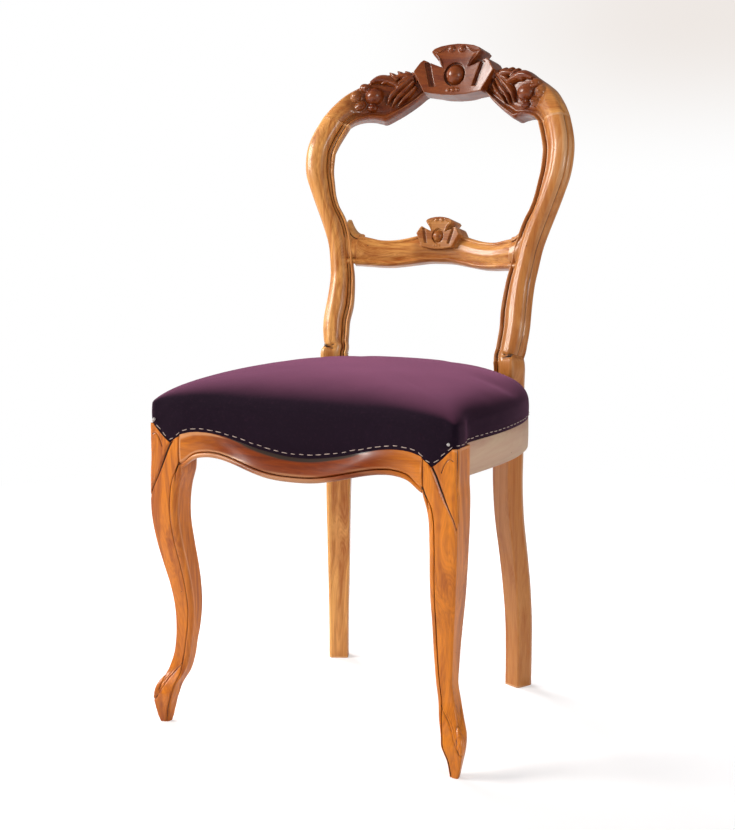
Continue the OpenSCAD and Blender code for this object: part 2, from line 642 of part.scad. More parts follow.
// Dowels of each kind of joint
module crest_dowels() {
    color("tan") translate([0, -mid_y, 0])
        for (s = [0, 1]) mirror([s, 0, 0]) crest_dowel_places() dowel([0, 0, 0], joint_way);
}
module mid_rail_dowels() {
    color("tan") translate([0, -mid_y, 0])
        for (s = [0, 1]) mirror([s, 0, 0])
            mid_dowel_places() dowel([0, 0, 0], [1, 0, 0], thin_dowel_d);
}
module front_rail_dowels() {
    color("tan") translate([0, -mid_y, 0])
        for (s = [0, 1]) mirror([s, 0, 0]) front_dowel_places() dowel([0, 0, 0], [1, 0, 0]);
}
module side_rail_dowels() {
    color("tan") translate([0, -mid_y, 0])
        for (s = [0, 1]) mirror([s, 0, 0]) {
            side_front_dowel_places() dowel([0, 0, 0], [0, 1, 0]);
            side_rear_dowel_places() dowel([0, 0, 0], rail_end_way);
        }
}
module rear_rail_dowels() {
    color("tan") translate([0, -mid_y, 0])
        for (s = [0, 1]) mirror([s, 0, 0]) rear_dowel_places() dowel([0, 0, 0], post_out);
}

// Corner blocks, glued and screwed across the inside of each corner
block_drop = 22;
block_low_h = rail_top_h - block_h - block_drop;
block_reach = 46;
front_side_shares = [0.18, 0.12, 0.06];
front_block = concat(
    [[leg_in_x - block_reach, front_in_y + gap], [leg_in_x - gap, front_in_y + gap],
     [leg_in_x - gap, leg_back_y + gap], [side_in(0)[0] - gap, leg_back_y + gap]],
    [for (i = [2:-1:0]) side_in(front_side_shares[i]) - side_normal(front_side_shares[i]) * gap]);
rear_side_shares = [for (i = [13:15]) i / side_count];
post_corner = post_at(-seat_post_w / 2, 0, 0);
rear_block_share = 0.62;
rear_corner_share = 0.97;
rear_block_end = rear_edge(rear_end_front, rear_block_share);
rear_block = concat(
    [for (t = rear_side_shares) side_in(t) - side_normal(t) * gap],
    [[end_in[0], end_in[1]] + [post_face[0], post_face[1]] * gap - [gap, 0],
     [post_corner[0], post_corner[1]] + [post_face[0], post_face[1]] * gap
         - [post_out[0], post_out[1]] * gap,
     rear_edge(rear_end_front, rear_corner_share) - [0, gap * 3],
     rear_block_end - [0, gap * 3]]);
function across(a, b) = let (d = unit(b - a)) [d[1], -d[0]];
function turn(a, b) = a[0] * b[1] - a[1] * b[0];
// The front screw runs past the corner of the side rail, into the back of the leg
front_way = -across(front_block[6], front_block[0]);
front_touch = [leg_in_x + leg_head_w * 0.16, leg_back_y];
front_edge_way = front_block[6] - front_block[0];
front_seat = front_touch + front_way * turn(front_block[0] - front_touch, front_edge_way)
             / turn(front_way, front_edge_way);
// The rear screw runs square into the post, from where its line leaves the block
rear_way = -[post_face[0], post_face[1]];
rear_touch = let (p = post_at(seat_post_w * rear_touch_share, 0, 0)) [p[0], p[1]];
rear_edge_way = rear_block_end - rear_block[0];
rear_seat = rear_touch + rear_way * turn(rear_block[0] - rear_touch, rear_edge_way)
            / turn(rear_way, rear_edge_way);
screw_z = block_low_h + block_h / 3;
module block_screw(seat, way, extra) {
    from = [seat[0], seat[1], screw_z];
    rod(from, [way[0], way[1], 0], screw_d + extra * 2, screw_l + extra);
}
module leg_screw() { block_screw(front_seat, front_way, bore_gap); }
module post_screw() { block_screw(rear_seat, rear_way, bore_gap); }
module corner_block(outline, seat, way) {
    difference() {
        translate([0, 0, block_low_h]) linear_extrude(height = block_h) polygon(outline);
        block_screw(seat, way, bore_gap);
        rod([seat[0], seat[1], screw_z] - [way[0], way[1], 0] * 2 * over, [way[0], way[1], 0],
            screw_d * 2 + gap * 2, 2 * over + screw_head_h);
    }
}
module corner_block_front_right() {
    color("wheat") translate([0, -mid_y, 0]) corner_block(front_block, front_seat, front_way);
}
module corner_block_front_left() {
    color("wheat") translate([0, -mid_y, 0])
        mirror([1, 0, 0]) corner_block(front_block, front_seat, front_way);
}
module corner_block_rear_right() {
    color("wheat") translate([0, -mid_y, 0]) corner_block(rear_block, rear_seat, rear_way);
}
module corner_block_rear_left() {
    color("wheat") translate([0, -mid_y, 0])
        mirror([1, 0, 0]) corner_block(rear_block, rear_seat, rear_way);
}
screw_head_h = 2.5;
module screw(seat, way) {
    block_screw(seat, way, 0);
    rod([seat[0], seat[1], screw_z], [way[0], way[1], 0], screw_d * 2, screw_head_h);
}
module corner_block_screws() {
    color("silver") translate([0, -mid_y, 0])
        for (s = [0, 1]) mirror([s, 0, 0]) {
            screw(front_seat, front_way);
            screw(rear_seat, rear_way);
        }
}

// Webbing: straps from front to back, and straps across on top of them
long_strap_shares = [-1.5, -0.5, 0.5, 1.5];
strap_pitch = 58;
long_front_y = -front_reach + cloth_back + rebate * 2;
cross_strap_shares = [-0.68, -0.29, 0.1, 0.45];
cross_strap_y = [for (s = cross_strap_shares) s * (front_reach + post_reach) / 2];
side_table = [for (i = [0:40]) [side_at(i / 40)[1], side_at(i / 40)[0]]];
function cross_reach(y) = lookup(y + strap_w / 2, side_table) - rebate * 2;
function long_back_y(x) =
    rear_edge(rear_end_back, (abs(x) + strap_w / 2) / rear_end_back[0])[1] - rebate;
module webbing_lengthwise() {
    color("tan") translate([0, -mid_y, 0])
        difference() {
            for (s = long_strap_shares) {
                x = s * strap_pitch;
                translate([x - strap_w / 2, long_front_y, rail_top_h])
                    cube([strap_w, long_back_y(x) - long_front_y, strap_t]);
            }
            tack_holes();
        }
}
module webbing_crosswise() {
    color("tan") translate([0, -mid_y, 0])
        difference() {
            for (y = cross_strap_y)
                translate([-cross_reach(y), y - strap_w / 2, rail_top_h + strap_t])
                    cube([2 * cross_reach(y), strap_w, strap_t]);
            tack_holes();
        }
}

// Tacks at the ends of every strap
tack_d = 1.6;
tack_l = 9;
tack_head_t = 0.6;
tack_inset = 8;
tack_spread = 12;
long_tacks = [for (s = long_strap_shares) for (k = [-1, 1]) for (e = [0, 1])
    let (x = s * strap_pitch)
    [x + k * tack_spread, e == 0 ? long_front_y + tack_inset : long_back_y(x) - tack_inset,
     rail_top_h + strap_t]];
cross_tacks = [for (y = cross_strap_y) for (k = [-1, 1]) for (e = [-1, 1])
    [e * (cross_reach(y) - tack_inset), y + k * tack_spread, rail_top_h + 2 * strap_t]];
module tack_holes() {
    for (p = concat(long_tacks, cross_tacks))
        translate([p[0], p[1], p[2] - tack_l - bore_gap])
            cylinder(d = tack_d + 2 * bore_gap, h = tack_l + over, $fn = round_fn);
}
module webbing_tacks() {
    color("dimgray") translate([0, -mid_y, 0])
        for (p = concat(long_tacks, cross_tacks)) translate(p) {
            translate([0, 0, -tack_l]) cylinder(d = tack_d, h = tack_l, $fn = round_fn);
            cylinder(d = tack_head_d, h = tack_head_t, $fn = round_fn);
        }
}

// Seat pad: its edge in plan and the height of its hem, from the front centre
// round by the right to the back centre
front_steps = [0, 0.17, 0.34, 0.51, 0.66, 0.78, 0.88, 0.97];
front_edge = [for (t = front_steps) [leg_in_x * t, front_cloth_y(t), front_cloth_h(t)]];
hem_gap = 0.5;
hem_rise = 2;
head_front_y = -front_reach + hem_gap;
leaf_edge = [[mix(leg_in_x, head_x, 0.3), head_front_y, notch_h + hem_rise],
             [mix(leg_in_x, head_x, 0.62), head_front_y, mix(notch_h, leaf_top_h, 0.55)],
             [head_x - leg_round, head_front_y, leaf_top_h + hem_gap],
             [head_x, head_front_y + leg_round, leaf_top_h + hem_gap],
             [head_x, mix(-front_reach, leg_back_y, 0.55), leaf_top_h + hem_gap]];
side_steps = [0.02, 0.16, 0.3, 0.44, 0.57, 0.7, 0.81, 0.9, 0.97];
side_edge = [for (t = side_steps) [side_at(t)[0], side_at(t)[1], side_line_h + hem_gap]];
tuck_rise = 1.5;
tuck_h = rail_top_h + 2 * strap_t + tack_head_t + hessian_t + tuck_rise;
post_clear = 1;
tuck_edge = [post_at(seat_post_w * 0.605, -post_clear, tuck_h),
             post_at(0, -post_clear, tuck_h),
             post_at(-seat_post_w / 2 - post_clear, -post_clear, tuck_h),
             post_at(-seat_post_w / 2 - post_clear, rear_set + rear_rail_t + rebate, tuck_h)];
rear_hem_share = 0.7;
rear_hem_h = rail_top_h - rear_rail_h * rear_hem_share;
rear_steps = [0.82, 0.6, 0.36, 0.12];
rear_drop = rebate + gap;
rear_edge_points = [for (t = rear_steps)
    let (p = rear_edge(rear_end_back, t)) [p[0], p[1] + rear_drop, rear_hem_h]];
half_edge = concat(front_edge, leaf_edge, side_edge, tuck_edge, rear_edge_points);
half_n = len(half_edge);
edge = concat(half_edge, [for (i = [half_n - 1:-1:1]) flip_x(half_edge[i])]);
edge_n = len(edge);
pad_centre = [0, (post_reach - front_reach) / 2];
function plan(p) = [p[0], p[1]];
function edge_out(i) =
    let (a = plan(edge[(i + edge_n - 1) % edge_n]), b = plan(edge[(i + 1) % edge_n]),
         d = unit(b - a)) [d[1], -d[0]];
function pad_soft(i) = edge[i][2] > rail_top_h ? 0 : 1;
function ring_at(i, out, z) =
    let (p = plan(edge[i]) + edge_out(i) * out) [p[0], p[1], z];
// Oval that the crown's rings settle to towards the middle of the pad
oval_half_w = seat_half_w * 0.93;
oval_half_d = (post_reach + front_reach) / 2;
function oval_at(d) =
    let (a = atan2(d[1], d[0]), c = cos(a) / oval_half_w, e = sin(a) / oval_half_d)
    [cos(a), sin(a)] / sqrt(c * c + e * e);
function top_at(i, s, z) =
    let (full = plan(edge[i]) - edge_out(i) * border_inset - pad_centre,
         p = pad_centre + mix(oval_at(full), full, s * s) * s) [p[0], p[1], z];
border_inset = 9;
shoulder_rise = 8;
crown_power = 3.2;
shoulder_in = 4;
shoulder_up = 5.5;
function crown_z(s) = mix(pad_top_h, border_top_h + shoulder_rise, pow(s, crown_power));
border_shares = [0, 0.25, 0.6, 0.9, 1];
border_outs = [0, 0.8, 1, 0.6, 0.1];
crown_steps = [0.92, 0.72, 0.46, 0.2];
// Rings of the pad's skin, moved in by an inset and stopping at a hem height
function pad_rings(inset, hem) = concat(
    [for (k = [0:4]) [for (i = [0:edge_n - 1])
        ring_at(i, border_bulge * border_outs[k] * pad_soft(i) - inset,
                mix(hem == 0 ? edge[i][2] : hem, border_top_h - inset * border_shares[k],
                    border_shares[k]))]],
    [[for (i = [0:edge_n - 1]) ring_at(i, -shoulder_in - inset * 0.8,
                                       border_top_h + shoulder_up - inset)]],
    [for (s = crown_steps) [for (i = [0:edge_n - 1]) top_at(i, s, crown_z(s) - inset)]]);
module seat_cover() {
    outer = pad_rings(0, 0);
    inner = pad_rings(cover_t, 0);
    n = len(inner);
    color("indigo")
        translate([0, -mid_y, 0])
            difference() {
                loft(concat([for (i = [n - 1:-1:0]) inner[i]], outer));
                for (s = [0, 1]) mirror([s, 0, 0]) pin_shank(bore_gap);
            }
}
module seat_stuffing() {
    color("ivory")
        translate([0, -mid_y, 0])
            loft(pad_rings(cover_t + gap * 2, stuffing_low_h));
}
stuffing_low_h = rail_top_h + 2 * strap_t + tack_head_t + hessian_t + bore_gap;
hessian_inset = 6;
module hessian_sheet() {
    low = stuffing_low_h - hessian_t;
    color("khaki")
        translate([0, -mid_y, low])
            linear_extrude(height = hessian_t)
                offset(delta = -hessian_inset)
                    polygon([for (p = edge) plan(p)]);
}

// Pins with round heads at the two front corners of the cover
pin_d = 1.2;
pin_l = 14;
pin_in = 9;
pin_up = 7;
pin_place = [head_x - pin_in, head_front_y, leaf_top_h + pin_up];
module pin_shank(extra) {
    translate([pin_place[0], pin_place[1] - border_bulge - over, pin_place[2]])
        rotate([-90, 0, 0])
            cylinder(d = pin_d + 2 * extra, h = pin_l + extra, $fn = round_fn);
}
module corner_pins() {
    color("white")
        translate([0, -mid_y, 0])
            for (s = [0, 1]) mirror([s, 0, 0]) {
                pin_shank(0);
                translate([pin_place[0], pin_place[1] - border_bulge - over, pin_place[2]])
                    sphere(d = pin_head_d, $fn = round_fn);
            }
}

front_leg_left();
front_leg_right();
rear_post_left();
rear_post_right();
crest_rail();
mid_rail();
front_seat_rail();
side_seat_rail_left();
side_seat_rail_right();
rear_seat_rail();
crest_dowels();
mid_rail_dowels();
front_rail_dowels();
side_rail_dowels();
rear_rail_dowels();
corner_block_front_left();
corner_block_front_right();
corner_block_rear_left();
corner_block_rear_right();
corner_block_screws();
webbing_lengthwise();
webbing_crosswise();
webbing_tacks();
hessian_sheet();
seat_stuffing();
seat_cover();
corner_pins();
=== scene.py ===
"""Finished looks of a balloon back chair: carved walnut frame, plum wool seat and its trim."""

import math

import bmesh
import bpy
import numpy as np
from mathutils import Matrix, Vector
from mathutils.bvhtree import BVHTree


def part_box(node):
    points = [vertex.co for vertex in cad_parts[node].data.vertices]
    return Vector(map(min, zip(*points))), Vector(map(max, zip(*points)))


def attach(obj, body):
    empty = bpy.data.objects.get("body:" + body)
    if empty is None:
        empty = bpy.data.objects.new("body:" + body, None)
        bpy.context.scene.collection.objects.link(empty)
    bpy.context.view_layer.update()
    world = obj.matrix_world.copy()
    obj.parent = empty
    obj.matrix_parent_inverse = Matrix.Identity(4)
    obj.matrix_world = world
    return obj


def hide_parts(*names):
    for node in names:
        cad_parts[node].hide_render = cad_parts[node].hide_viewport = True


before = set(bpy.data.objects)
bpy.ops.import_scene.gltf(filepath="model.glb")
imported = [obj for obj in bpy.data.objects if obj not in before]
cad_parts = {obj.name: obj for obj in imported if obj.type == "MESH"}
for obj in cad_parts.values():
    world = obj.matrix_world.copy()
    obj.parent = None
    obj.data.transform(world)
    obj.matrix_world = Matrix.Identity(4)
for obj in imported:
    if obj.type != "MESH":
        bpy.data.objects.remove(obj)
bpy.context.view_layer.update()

bl_info = {
    "name": "Balloon back chair",
    "version": (1, 0, 0),
    "blender": (4, 5, 0),
    "location": "View3D > Sidebar > Chair",
    "description": "Builds the carved wood, the stuffed seat and the studio round the chair's frame",
    "category": "Object",
}

# Shapes are worked out in millimetres from the middle of the seat; the frame is in metres
MM = 0.001
SIDE_RAIL_FRONT = 155.5
DATUM_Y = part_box("side_seat_rail_right")[0].y + SIDE_RAIL_FRONT * MM
RAIL_TOP = 430.0
SEAT_HALF_W = 221.5
FRONT_REACH = 198.0
POST_REACH = 150.0
POST_X = 131.0
POST_W = 43.0
BACK_T = 29.0
LEG_HEAD_D = 42.5
LEG_HEAD_W = 46.0
ANKLE_W = 23.0
TOE_W = 10.0
TOE_H = 45.0
TOE_THROW = 23.0
KNEE_THROW = 18.0
REBATE = 3.5
RAIL_T = 24.0
FRONT_RAIL_H = 76.0
SIDE_RAIL_H = 59.0
REAR_RAIL_H = 54.0
CREST_TOP = 895.0
BACK_HALF_W = 199.5
BACK_R = 283.0
BACK_RAKE = math.tan(math.radians(13.4))
BACK_REACH = 170.0
WAIST_SET = 8.0
FOOT_SPLAY = 21.0
FOOT_SPREAD = 12.0
BACK_H = CREST_TOP - RAIL_TOP


# Plain helpers on arrays of points

def unit(v):
    v = np.asarray(v, float)
    return v / np.linalg.norm(v, axis=-1, keepdims=True)


def mix(a, b, t):
    return a + (b - a) * t


def ramp(x, low, high):
    """0 below low, 1 above high, and smooth between them."""
    t = np.clip((np.asarray(x, float) - low) / (high - low), 0, 1)
    return t * t * (3 - 2 * t)


def curve(values, s):
    """Smooth curve through a list of values or points, s counting from 0 to the last one."""
    values = np.asarray(values, float)
    s = np.asarray(s, float)
    i = np.minimum(np.floor(s).astype(int), len(values) - 2)
    f = s - i
    if values.ndim > 1:
        f = f[..., None]
    a, b = values[np.maximum(i - 1, 0)], values[i]
    c, d = values[i + 1], values[np.minimum(i + 2, len(values) - 1)]
    return 0.5 * (2 * b + (c - a) * f + (2 * a - 5 * b + 4 * c - d) * f * f
                  + (3 * b - a - 3 * c + d) * f * f * f)


def along(values, t):
    """Smooth curve through values, t from 0 to 1."""
    return curve(values, np.asarray(t, float) * (len(values) - 1))


def through(levels, stations):
    """Smooth rows at the given heights through stations whose third value climbs."""
    height = stations[:, 2]
    slope = np.gradient(stations, height, axis=0)
    i = np.clip(np.searchsorted(height, levels) - 1, 0, len(height) - 2)
    step = (height[i + 1] - height[i])[:, None]
    t = np.clip((levels - height[i])[:, None] / step, 0, 1)
    return ((1 + 2 * t) * (1 - t) ** 2 * stations[i] + t * (1 - t) ** 2 * step * slope[i]
            + t * t * (3 - 2 * t) * stations[i + 1] + t * t * (t - 1) * step * slope[i + 1])


def flip_x(points):
    out = np.array(points, float)
    out[..., 0] *= -1
    return out


def valley(distance, half_width):
    """1 in the middle of a carved line, falling to 0 at its two edges."""
    return np.clip(1 - np.abs(distance) / half_width, 0, 1)


def line_distance(px, pz, line):
    """Distance from each point of the plane to a line through several points."""
    best = np.full(np.shape(px), 1e9)
    for (ax, az), (bx, bz) in zip(line[:-1], line[1:]):
        dx, dz = bx - ax, bz - az
        t = np.clip(((px - ax) * dx + (pz - az) * dz) / (dx * dx + dz * dz), 0, 1)
        best = np.minimum(best, np.hypot(px - ax - t * dx, pz - az - t * dz))
    return best


def smooth_line(points, count=24):
    return along(points, np.linspace(0, 1, count))


# Meshes

def to_frame(points):
    out = np.array(points, float) * MM
    out[..., 1] += DATUM_Y
    return out


def sheet_faces(rows, columns):
    """Quads between rings of points, each ring closed on itself."""
    i = np.arange(rows - 1)[:, None] * columns
    j = np.arange(columns)[None, :]
    k = (j + 1) % columns
    return np.stack([i + j, i + k, i + columns + k, i + columns + j], -1).reshape(-1, 4).tolist()


def solid_faces(rows, columns):
    """Quads between rings of points, with a face over each of the two ends."""
    last = (rows - 1) * columns
    return sheet_faces(rows, columns) + [list(range(columns)), list(range(last, last + columns))]


def make_object(name, points, faces):
    mesh = bpy.data.meshes.new(name)
    mesh.from_pydata(points.reshape(-1, 3).tolist(), [], faces)
    mesh.update()
    obj = bpy.data.objects.new(name, mesh)
    bpy.context.scene.collection.objects.link(obj)
    return obj


def face_outwards(obj):
    shape = bmesh.new()
    shape.from_mesh(obj.data)
    bmesh.ops.recalc_face_normals(shape, faces=shape.faces)
    shape.to_mesh(obj.data)
    shape.free()
    return obj


def shade(obj, angle=42):
    """Faces look outwards, and edges sharper than the angle stay crisp."""
    face_outwards(obj)
    obj.data.shade_smooth()
    obj.data.set_sharp_from_angle(angle=math.radians(angle))
    return obj


def loft(name, rings, angle=42):
    """Solid skinned over rings of points in millimetres, in its place in the frame."""
    return shade(make_object(name, to_frame(rings), solid_faces(*rings.shape[:2])), angle)


def read_points(mesh, what="co"):
    """Places of all points of a mesh, or their normals."""
    values = np.empty(len(mesh.vertices) * 3, np.float32)
    mesh.vertices.foreach_get(what, values)
    return values.reshape(-1, 3)


def write_points(mesh, points):
    mesh.vertices.foreach_set("co", np.asarray(points, np.float32).ravel())
    mesh.update()


def apply_modifier(obj, kind, **values):
    """Adds a modifier with the given values and applies it at once."""
    modifier = obj.modifiers.new(kind.lower(), kind)
    for key, value in values.items():
        setattr(modifier, key, value)
    bpy.context.view_layer.objects.active = obj
    bpy.ops.object.modifier_apply(modifier=modifier.name)


def cavity(obj, steps=14, millimetre=MM):
    """Stores how far each point lies under its smoothed surroundings, in millimetres."""
    mesh = obj.data
    count = len(mesh.vertices)
    here = read_points(mesh).astype(float)
    edges = np.empty(len(mesh.edges) * 2, np.int32)
    mesh.edges.foreach_get("vertices", edges)
    a, b = edges[0::2], edges[1::2]
    share = np.maximum(np.bincount(a, minlength=count) + np.bincount(b, minlength=count), 1)
    soft = here.copy()
    for _ in range(steps):
        total = np.stack([np.bincount(a, soft[b, k], count) + np.bincount(b, soft[a, k], count)
                          for k in range(3)], -1)
        soft = 0.4 * soft + 0.6 * total / share[:, None]
    depth = ((soft - here) * read_points(mesh, "normal")).sum(-1) / millimetre
    layer = mesh.attributes.get("cavity") or mesh.attributes.new("cavity", "FLOAT", "POINT")
    layer.data.foreach_set("value", depth.astype(np.float32))
    return obj


def finish_piece(obj, slot_name, *nodes):
    """The piece rides with the chair and stands for its nodes of the frame."""
    if nodes:
        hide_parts(*nodes)
    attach(obj, "root")
    return obj


def dress(obj, material):
    obj.data.materials.clear()
    obj.data.materials.append(material)
    return obj


def mirrored(obj, name):
    """The left hand copy of a right hand piece."""
    copy = bpy.data.objects.new(name, obj.data.copy())
    bpy.context.scene.collection.objects.link(copy)
    write_points(copy.data, read_points(copy.data) * np.array([-1, 1, 1], np.float32))
    copy.data.flip_normals()
    copy.data.update()
    return copy


# The back: its face is curved in plan and leans backwards

def back_y(x, z):
    return BACK_REACH + (z - RAIL_TOP) * BACK_RAKE - x * x / (2 * BACK_R)


def on_back(x, z):
    x, z = np.broadcast_arrays(np.asarray(x, float), np.asarray(z, float))
    return np.stack([x, back_y(x, z), z], -1)


def back_face(x):
    x = np.asarray(x, float)
    return unit(np.stack([-x / BACK_R, -np.ones_like(x), np.full_like(x, BACK_RAKE)], -1))


def bend_to_back(flat):
    """Points given as x, height over the face and z come to lie on the curved back."""
    return on_back(flat[..., 0], flat[..., 2]) + back_face(flat[..., 0]) * flat[..., 1:2]


# Sections: share of the width from the inner edge, and depth behind the face of the back
# in millimetres, on a board that is SECTION_T thick and is then stretched to its own thickness
SECTION_T = 24
BEAD_SHARE = 0.15
COVE_SHARE = 0.27
GROOVE_DEPTH = 6.0


def traced(rows):
    """Closed section from rows of share, depth, swell of both towards the next row, and count."""
    parts = []
    for row, after in zip(rows, rows[1:] + rows[:1]):
        t = np.linspace(0, 1, row[4], endpoint=False)
        line = mix(np.array(row[:2], float), np.array(after[:2], float), t[:, None])
        parts.append(line + np.array(row[2:4]) * (4 * t * (1 - t))[:, None])
    return np.concatenate(parts)


# Round bead and groove at the inner edge, then one broad round to the outer edge
MOULDED = traced([
    (0, 20, 0, 0, 7), (0, 6, -0.004, 0, 4), (0.02, 3.2, 0, -3.4, 12), (BEAD_SHARE, 4.6, 0, -0.9, 8),
    (COVE_SHARE, GROOVE_DEPTH, -0.014, -0.9, 7), (0.36, 1.2, 0, -1.1, 9), (0.62, 0.3, 0, -1.3, 10),
    (0.9, 4.6, 0.016, -0.6, 6), (0.99, 10.2, 0, 0, 3), (0.955, 11.6, 0.035, 0, 8),
    (0.965, 18.5, 0.02, 0.6, 6), (0.9, 23.4, 0, 0.4, 12), (0.1, 23.8, -0.015, 0.8, 6)])

# Nearly square section with soft corners, in step with the moulded one
PLAIN = traced([
    (0, 20, 0, 0, 7), (0, 5, 0, 0, 4), (0.015, 1.6, 0, 0, 12), (0.08, 0.1, 0, 0, 8),
    (0.25, 0, 0, 0, 7), (0.4, -0.1, 0, 0, 9), (0.65, 0, 0, 0, 10), (0.9, 0.3, 0, 0, 6),
    (0.985, 2.2, 0, 0, 3), (1, 4, 0, 0, 8), (1, 20, 0, 0, 6), (0.93, 23.6, 0, 0, 12),
    (0.08, 23.7, 0, 0, 6)])

# Bead along the lower edge, a sunk ground for the carving and a rolled top edge
CARVED = traced([
    (0, 20, 0, 0, 7), (0, 6, -0.004, 0, 4), (0.02, 3, 0, -3.4, 12), (0.13, 5.4, 0, 1.2, 8),
    (0.2, 6, 0, -0.8, 7), (0.34, 5, 0, -0.4, 9), (0.62, 4.8, 0, -0.6, 10), (0.9, 5.6, 0.012, -0.6, 6),
    (0.985, 9.4, 0, 0, 3), (0.99, 11, 0.01, 0, 8), (0.98, 18.5, 0.02, 0.6, 6), (0.9, 23.4, 0, 0.4, 12),
    (0.1, 23.8, -0.015, 0.8, 6)])

# Bead on the lower edge, broad swell, then a small bead on the upper edge
MID_SECTION = traced([
    (0, 21, 0, 0, 6), (0, 6, 0, -4.2, 13), (0.19, 5.2, 0, -0.3, 5), (0.26, 3.4, 0, -1.4, 12),
    (0.6, 0.4, 0, -1.3, 10), (0.85, 4.6, 0, -2.4, 9), (0.985, 6.2, 0.012, 0, 5), (1, 14, 0.02, 0, 7),
    (0.95, 23.6, 0, 0.3, 9), (0.05, 23.8, -0.01, 0.3, 3)])

CREST_OUTER = np.array([[0.922, 0.843], [0.872, 0.877], [0.802, 0.912], [0.727, 0.935],
                        [0.64, 0.957], [0.566, 0.976], [0.5, 0.981], [0.426, 0.982],
                        [0.346, 0.984], [0.281, 0.99], [0.2, 0.997], [0.1, 1], [0, 1]])
CREST_INNER = np.array([[0.742, 0.813], [0.707, 0.824], [0.657, 0.832], [0.601, 0.835],
                        [0.546, 0.832], [0.506, 0.829], [0.451, 0.842], [0.386, 0.86],
                        [0.306, 0.886], [0.241, 0.911], [0.195, 0.914], [0.1, 0.904],
                        [0, 0.901]])


def back_spot(share):
    """Place in the plane of the back, as x and z, from shares of its half width and height."""
    share = np.asarray(share, float)
    return share * [BACK_HALF_W, BACK_H] + [0, RAIL_TOP]


def crest_section(inner, outer, profile):
    """Section in flat coordinates: x, height over the face, z."""
    spot = inner + (outer - inner) * profile[:, :1]
    return np.stack([spot[:, 0], -profile[:, 1] * BACK_T / SECTION_T, spot[:, 1]], -1)


JOINT_INNER = back_spot(CREST_INNER[0])
JOINT_OUTER = back_spot(CREST_OUTER[0])
JOINT_MIDDLE = (JOINT_INNER + JOINT_OUTER) / 2

# Rear leg and post: height, splay, spread and width as shares
LEG_HEIGHT = [0, 0.116, 0.233, 0.35, 0.465, 0.58, 0.7, 0.81, 0.92, 1.02]
LEG_SPLAY = [1, 1, 0.95, 0.76, 0.46, 0.14, 0, 0, 0, 0]
LEG_SPREAD = [1, 1, 0.94, 0.75, 0.48, 0.17, 0, 0, 0, 0]
LEG_WIDTH = [0.67, 0.68, 0.72, 0.77, 0.8, 0.835, 0.86, 0.88, 0.88, 0.88]
POST_HEIGHT = [0.108, 0.118, 0.13, 0.165, 0.2, 0.258, 0.301, 0.344, 0.383, 0.452,
               0.51, 0.545, 0.58, 0.624, 0.667, 0.703, 0.742, 0.774]
POST_SIDE = [0.665, 0.66, 0.67, 0.679, 0.684, 0.677, 0.679, 0.687, 0.703, 0.732,
             0.778, 0.816, 0.847, 0.877, 0.902, 0.909, 0.905, 0.884]
POST_WIDTH = [0.88, 0.83, 0.88, 0.91, 0.916, 0.94, 0.89, 0.837, 0.802, 0.807,
              0.81, 0.74, 0.76, 0.86, 0.96, 1, 1, 1]
POST_SET = [0.95, 0.9, 0.85, 0.71, 0.6, 0.37, 0.22, 0.08, 0, 0, 0, 0, 0, 0, 0, 0, 0, 0]


def post_stations():
    """x, y, z and width, from the floor to the crest joint."""
    leg = [[POST_X + FOOT_SPREAD * s, POST_REACH + FOOT_SPLAY * b, RAIL_TOP * h, POST_W * w]
           for h, b, s, w in zip(LEG_HEIGHT, LEG_SPLAY, LEG_SPREAD, LEG_WIDTH)]
    post = []
    for h, s, w, f in zip(POST_HEIGHT, POST_SIDE, POST_WIDTH, POST_SET):
        x, z = BACK_HALF_W * s, RAIL_TOP + BACK_H * h
        post.append([x, back_y(x, z) - WAIST_SET * f, z, POST_W * w])
    x, z = JOINT_MIDDLE
    end = [[x, back_y(x, z), z, POST_W]]
    return np.array(leg + post + end)


NOTCH_AT = 487.0


def post_rings():
    stations = post_stations()
    top = stations[-1, 2]
    levels = [0.0]
    while levels[-1] < top - 2:
        levels.append(levels[-1] + 3.0 - 2.3 * math.exp(-((levels[-1] - NOTCH_AT) / 22) ** 2))
    levels = np.array(levels[:-1] + [top])
    fine = through(levels, stations)
    place, width = fine[:, :3], fine[:, 3]
    way = unit(np.gradient(place, axis=0))
    up_share = ramp(place[:, 2], RAIL_TOP, RAIL_TOP + 60)[:, None]
    up = unit(mix(np.array([0, 0, 1.0]), way, up_share))
    lean = back_face(mix(POST_X, place[:, 0], up_share[:, 0]))
    face = unit(lean - up * (lean * up).sum(-1, keepdims=True))
    out = np.cross(up, face)
    rings = []
    joint = bend_to_back(crest_section(JOINT_INNER, JOINT_OUTER, MOULDED))
    share = MOULDED[:, 0]
    outer = ramp(share, 0.3, 0.5)[:, None]
    for i in range(len(levels)):
        # The inner bead runs down behind the seat; the outer round stops short at a notch
        z = place[i, 2]
        bead, round_ = ramp(z, 398, 426), ramp(z, NOTCH_AT - 0.8, NOTCH_AT + 1.2)
        profile = mix(PLAIN, MOULDED, mix(bead, round_, outer))
        # Notch across the outer side, over a block that is as wide as the post above it
        groove = 1.5 * (valley(z - NOTCH_AT - 1.5, 2.6) + valley(z - NOTCH_AT + 6.5, 2.6))
        cut = groove + 2.6 * (1 - ramp(z, NOTCH_AT, NOTCH_AT + 26)) * (z > NOTCH_AT)
        aside = cut * ramp(share, 0.72, 0.9) * (profile[:, 1] < 22)
        deeper = groove * ramp(share, 0.45, 0.58) * (profile[:, 1] < 9)
        ring = (place[i] + out[i] * ((profile[:, :1] - 0.5) * width[i] - aside[:, None])
                - face[i] * (profile[:, 1:] * BACK_T / SECTION_T + deeper[:, None]))
        rings.append(ring)
    rings = np.array(rings)
    near = ramp(levels, top - 46, top)[:, None, None]
    shift = joint - rings[-1]
    return rings + shift * near


EAR_REACH = 20.0
MID_DEPTH_SHARE = 0.84


